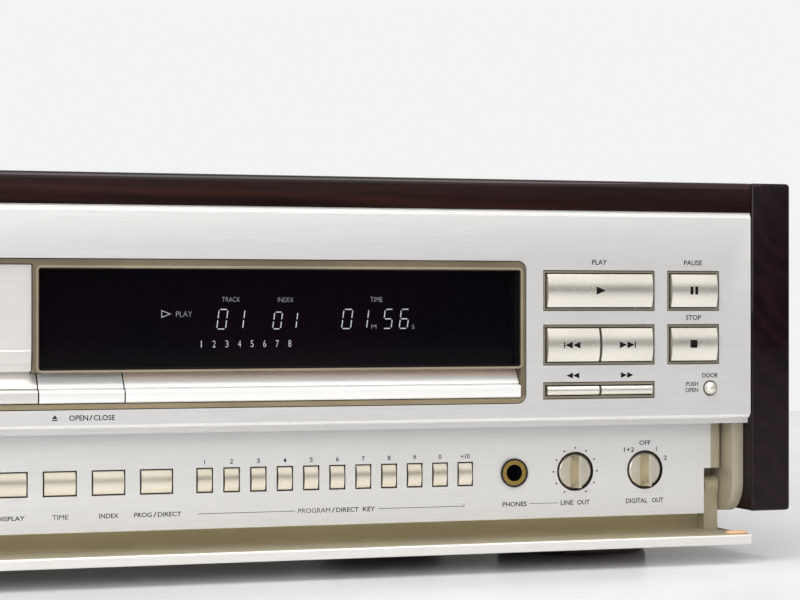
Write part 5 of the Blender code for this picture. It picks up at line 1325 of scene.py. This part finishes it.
@dataclass
class DropFlap:
    """The flap that stands open below the keys."""

    edge_back: float = -3.2
    skin_top: float = 8.6
    cove_from: float = 12.0
    cove_half: float = 203.0
    cove_top: float = 19.0
    stop: Point = (214.6, 1.6)
    stop_half: Point = (4.4, 2.6)
    stop_sides: int = 20
    stop_curve: Point = (0.5, 0.8)

    STOP_PROFILE = ((1.0, 11.7), (1.0, 12.2), (0.93, 12.55), (0.75, 12.75), (0.35, 12.85))

    def dress(self) -> None:
        """Gives the flap's outside and inside their finishes."""
        outside = BrushedMetal(seen(234, 231, 226), seen(224, 221, 216), 0.4, metallic=0.35)
        dress(["door_flap"], outside.material("flap_aluminium"))

        def is_inner(place: Place, normal: Vector) -> bool:
            """Chooses the faces that look up or lie behind the front edge."""
            return place[1] > self.edge_back and place[2] > self.skin_top and normal.z > -0.7

        def in_cove(place: Place, normal: Vector) -> bool:
            """Chooses the hollow behind the key plate's foot, between the arms."""
            between = abs(place[0]) < self.cove_half and place[2] < self.cove_top
            return between and place[1] > self.cove_from and is_inner(place, normal)

        inside = Moulded(seen(182, 174, 149), seen(171, 162, 137), 0.4, 1500.0, 0.00001, 0.3)
        # The cove takes a much lighter copy of the lining as painted light against its shade.
        deep = replace(inside, tone=seen(252, 242, 206), shade=seen(244, 233, 196))
        paint_faces("door_flap", inside.material("flap_lining"), is_inner)
        paint_faces("door_flap", deep.material("flap_cove_painted_light"), in_cove)

    def build(self) -> None:
        """Adds the soft stop at each front corner of the flap."""
        amber = Moulded(seen(232, 190, 150), seen(222, 176, 134), 0.5, 900.0).material("amber_rubber")
        turns = [math.tau * i / self.stop_sides for i in range(self.stop_sides)]
        for side, name in ((-1, "flap_stop_left"), (1, "flap_stop_right")):
            form = bmesh.new()
            rings = []
            for scale, height in self.STOP_PROFILE:
                ring = []
                for cosine, sine in ((math.cos(turn), math.sin(turn)) for turn in turns):
                    x = self.stop_half[0] * scale * math.copysign(abs(cosine) ** self.stop_curve[0], cosine)
                    depth = self.stop_half[1] * scale * math.copysign(abs(sine) ** self.stop_curve[1], sine)
                    place = put(side * self.stop[0] + x, self.stop[1] + depth, height)
                    ring.append(form.verts.new(place))
                rings.append(ring)
            join_rings(form, rings)
            add_piece(name, form, amber, "flap", True)


@dataclass
class LoadingMechanism:
    """Tray, gear, loader, turntable, pick-up and clamp."""

    strip_ends: Point = (-195.5, -64.2)
    strip_profile: tuple[Point, ...] = ((1.7, 85.9), (1.25, 85.45), (1.25, 81.35), (1.7, 80.9))

    def build(self) -> None:
        """Adds the raised strip along the foot of the tray's door."""
        form = bmesh.new()
        rings = []
        for x in self.strip_ends:
            rings.append([form.verts.new(put(x, depth, z)) for depth, z in self.strip_profile])
        join_rings(form, rings)
        finish = BrushedMetal(seen(238, 235, 230), seen(228, 225, 220), 0.38)
        add_piece("tray_door_strip", form, finish.material("strip_aluminium"), "tray")

    def dress(self) -> None:
        """Gives the mechanism its finishes."""
        door = BrushedMetal(seen(232, 229, 225), seen(222, 219, 214), 0.4)
        dress(["tray_door"], door.material("door_aluminium"))
        # Faces that look into the gaps take painted shade.
        paint_faces("tray_door", GAP_PAINTED_SHADE.material("door_gap_painted_shade"), looks_into_gap)
        mechanism = ["spindle_turntable", "clamp_puck", "pickup_sled"]
        dress_each(
            (["tray"], "tray_grey", Moulded(seen(62, 62, 64), seen(52, 52, 54), 0.48, 1200.0)),
            (["loader_frame"], "loader_black", Moulded(seen(44, 44, 46), seen(36, 36, 38), 0.5)),
            (["traverse_base", "clamp_bridge"], "plated_bracket", PlatedSteel()),
            (mechanism, "mechanism_black", Moulded(seen(30, 30, 32), seen(22, 22, 24), 0.42)),
        )
        acetal = Moulded(seen(222, 216, 200), seen(208, 202, 186), 0.38)
        dress(["loading_gear"], acetal.material("gear_acetal"), crease=20.0)


@dataclass
class Electronics:
    """Boards and transformer inside the case."""

    def dress(self) -> None:
        """Gives the boards and the transformer their finishes."""
        core = Moulded(seen(40, 40, 42), seen(32, 32, 34), 0.5, 700.0)
        dress_each(
            (["front_board", "main_board"], "board_green", CircuitBoard()),
            (["power_transformer"], "transformer_black", core),
        )


@dataclass
class RearPanel:
    """Back of the case, with sockets, inlet, words and screws."""

    face: float = 395.7
    sleeves_from: float = 398.6
    sleeve_reach: float = 4.4

    SOCKETS = tuple((x, z) for x in (74, 98, 122, 146) for z in (73, 95))
    SCREWS = tuple((x, z) for x in (-205.0, -70.0, 40.0, 205.0) for z in (30.0, 128.0))
    WORDS = {
        (95.0, 2.4): (("L", 86.0, 1.6),),
        (73.0, 2.4): (("R", 86.0, 1.8),),
        (110.5, 2.4): (("LINE OUT", 98.0, 15.0), ("DIGITAL OUT", 165.0, 20.0)),
        (93.0, 2.2): (("OPTICAL", 170.0, 12.0),),
        (68.0, 2.4): (("AC IN", -165.0, 10.0),),
    }

    def dress(self) -> None:
        """Gives the back its finishes."""
        paint = Moulded(seen(46, 45, 46), seen(38, 37, 38), 0.55, 900.0, 0.00003)
        dress_each(
            (["rear_panel"], "rear_paint", paint),
            (["power_inlet"], "inlet_black", Moulded(seen(24, 24, 25), seen(18, 18, 19), 0.4)),
            (["output_sockets"], "socket_black", Moulded(seen(26, 26, 27), seen(20, 20, 21), 0.42)),
        )

        def is_tip(place: Place, _: Vector) -> bool:
            """Chooses the metal sleeves of the round sockets."""
            reach = min(math.hypot(place[0] - x, place[2] - z) for x, z in self.SOCKETS)
            return place[1] >= self.sleeves_from and reach < self.sleeve_reach

        gold = SatinMetal(seen(214, 190, 120), seen(196, 170, 98), 0.22, 1.0)
        paint_faces("output_sockets", gold.material("socket_gold"), is_tip)

    def mark(self) -> None:
        """Prints plain words beside the sockets and the inlet, and sets the screws."""
        white = PrintedInk(seen(206, 206, 202), seen(184, 184, 180)).material("white_ink")
        plate = Stencil(self.face, Facing.BACK)
        plate.words(self.WORDS)
        plate.finish("rear_words", white, "case", Slot.PALE_PLASTIC)
        steel = PlatedSteel(seen(96, 96, 98), seen(72, 72, 74), 0.34).material("black_screws")
        spots = [put(x, self.face, z) for x, z in self.SCREWS]
        Screws().place("rear_screws", spots, Vector((0, 1, 0)), steel)


@dataclass
class Underside:
    """Base and feet."""

    def dress(self) -> None:
        """Gives the base and feet their finishes."""
        feet = [f"foot_{end}_{side}" for end in ("front", "rear") for side in ("left", "right")]
        dress_each(
            (["base_plate"], "plated_base", PlatedSteel()),
            # The feet's black plastic takes a lighter brown-grey as painted light.
            (feet, "foot_black_painted_light", Moulded(seen(108, 98, 90), seen(94, 85, 78), 0.4, 1100.0)),
        )


@dataclass
class Studio:
    """Pale table, soft lights and the camera."""

    eye: Place = (-0.1987, -1.026, 0.1026)
    turn: float = -18.3
    lens: float = 104.2
    sensor: float = 36.0
    rise: float = 0.004
    sky: float = 0.54
    room: float = 0.02
    window: float = 1.1
    backdrop: Colour = seen(243, 243, 244)
    table_half: float = 4.0
    table_back: float = 0.95

    def build_table(self) -> None:
        """Lays the table under the object, up to its far edge."""
        form = bmesh.new()
        bmesh.ops.create_grid(form, x_segments=8, y_segments=8, size=self.table_half)
        for vertex in form.verts:
            vertex.co.y = min(vertex.co.y, self.table_back)
        table = link_form("table", form)
        table.data.materials.append(TableTop().material("table_laminate"))

    def build_world(self) -> None:
        """Sets a pale sky over a dim room in front, and a plain backdrop for the camera."""
        world = bpy.data.worlds.new("studio")
        bpy.context.scene.world = world
        g = Graph(world)
        way = g.node("ShaderNodeTexCoord", output="Generated")
        right, back, up = (g.node("ShaderNodeSeparateXYZ", None, {0: way}, i) for i in range(3))
        tilt = g.node("ShaderNodeMath", {"operation": "ABSOLUTE"}, {0: up})
        band = g.remap(tilt, 0.06, 0.3, 1.0, 0.0)
        front = g.remap(back, -0.55, 0.25, 1.0, 0.0)
        shade = g.remap(right, -0.1, 0.5, 0.9, 1.0)
        pane = g.remap(up, 0.22, 0.36) * g.remap(up, 0.55, 0.75, 1.0, 0.0)
        pane = pane * g.remap(back, -0.4, -0.1, 1.0, 0.0)
        aside = g.remap(right, 0.0, 0.9, 1.0, 0.7)
        dim = band * front * shade * (self.sky - self.room)
        level = (self.sky + pane * (self.window - self.sky) - dim) * aside
        light = g.node("ShaderNodeBackground", None, {0: seen(255, 254, 252), 1: level})
        shown = g.node("ShaderNodeBackground", None, {0: self.backdrop, 1: 1.0})
        camera_ray = g.node("ShaderNodeLightPath", output="Is Camera Ray")
        g.close(g.node("ShaderNodeMixShader", None, {0: camera_ray, 1: light, 2: shown}))

    @staticmethod
    def add_light(name: str, place: Place, target: Place, size: Point, power: float) -> None:
        """Adds one soft box.

        Args:
            name: The light's name.
            place: Where it hangs, in metres.
            target: What it looks at.
            size: Its width and height.
            power: Its power in watts.
        """
        data = bpy.data.lights.new(name, "AREA")
        data.shape = "RECTANGLE"
        data.size, data.size_y = size
        data.energy = power
        light = bpy.data.objects.new(name, data)
        light.location = place
        light.rotation_euler = (Vector(target) - Vector(place)).to_track_quat("-Z", "Y").to_euler()
        bpy.context.scene.collection.objects.link(light)

    def build_lights(self) -> None:
        """Hangs the soft boxes."""
        self.add_light("overhead", (-0.1, -0.8, 1.9), (0.0, -0.1, 0.05), (2.2, 1.4), 32.0)
        self.add_light("front_left", (-1.2, -1.75, 0.6), (-0.05, -0.1, 0.06), (1.5, 0.8), 14.0)

    def build_camera(self) -> None:
        """Stands the camera where the photograph was taken."""
        data = bpy.data.cameras.new("camera")
        data.lens = self.lens
        data.sensor_width = self.sensor
        data.shift_y = self.rise
        data.clip_start = 0.05
        camera = bpy.data.objects.new("camera", data)
        camera.location = self.eye
        camera.rotation_euler = (math.radians(90.0), 0.0, math.radians(self.turn))
        bpy.context.scene.collection.objects.link(camera)
        bpy.context.scene.camera = camera
        bpy.context.scene.view_settings.view_transform = "Standard"


def main() -> None:
    """Builds and dresses the sub-assemblies in order."""
    logging.basicConfig(level=logging.INFO, format="%(message)s")
    ink = PrintedInk().material("grey_ink")
    studio = Studio()
    studio.build_camera()
    studio.build_table()
    studio.build_world()
    studio.build_lights()
    WoodCase().dress()
    panel = FrontPanel()
    panel.dress()
    panel.mark(ink)
    window = DisplayWindow()
    window.dress()
    window.build()
    window.light()
    controls = TransportControls()
    controls.dress()
    controls.mark(ink)
    keys = KeyBay()
    keys.dress()
    keys.mark(ink)
    flap = DropFlap()
    flap.dress()
    flap.build()
    loader = LoadingMechanism()
    loader.dress()
    loader.build()
    Electronics().dress()
    rear = RearPanel()
    rear.dress()
    rear.mark()
    Underside().dress()


if __name__ == "__main__":
    main()
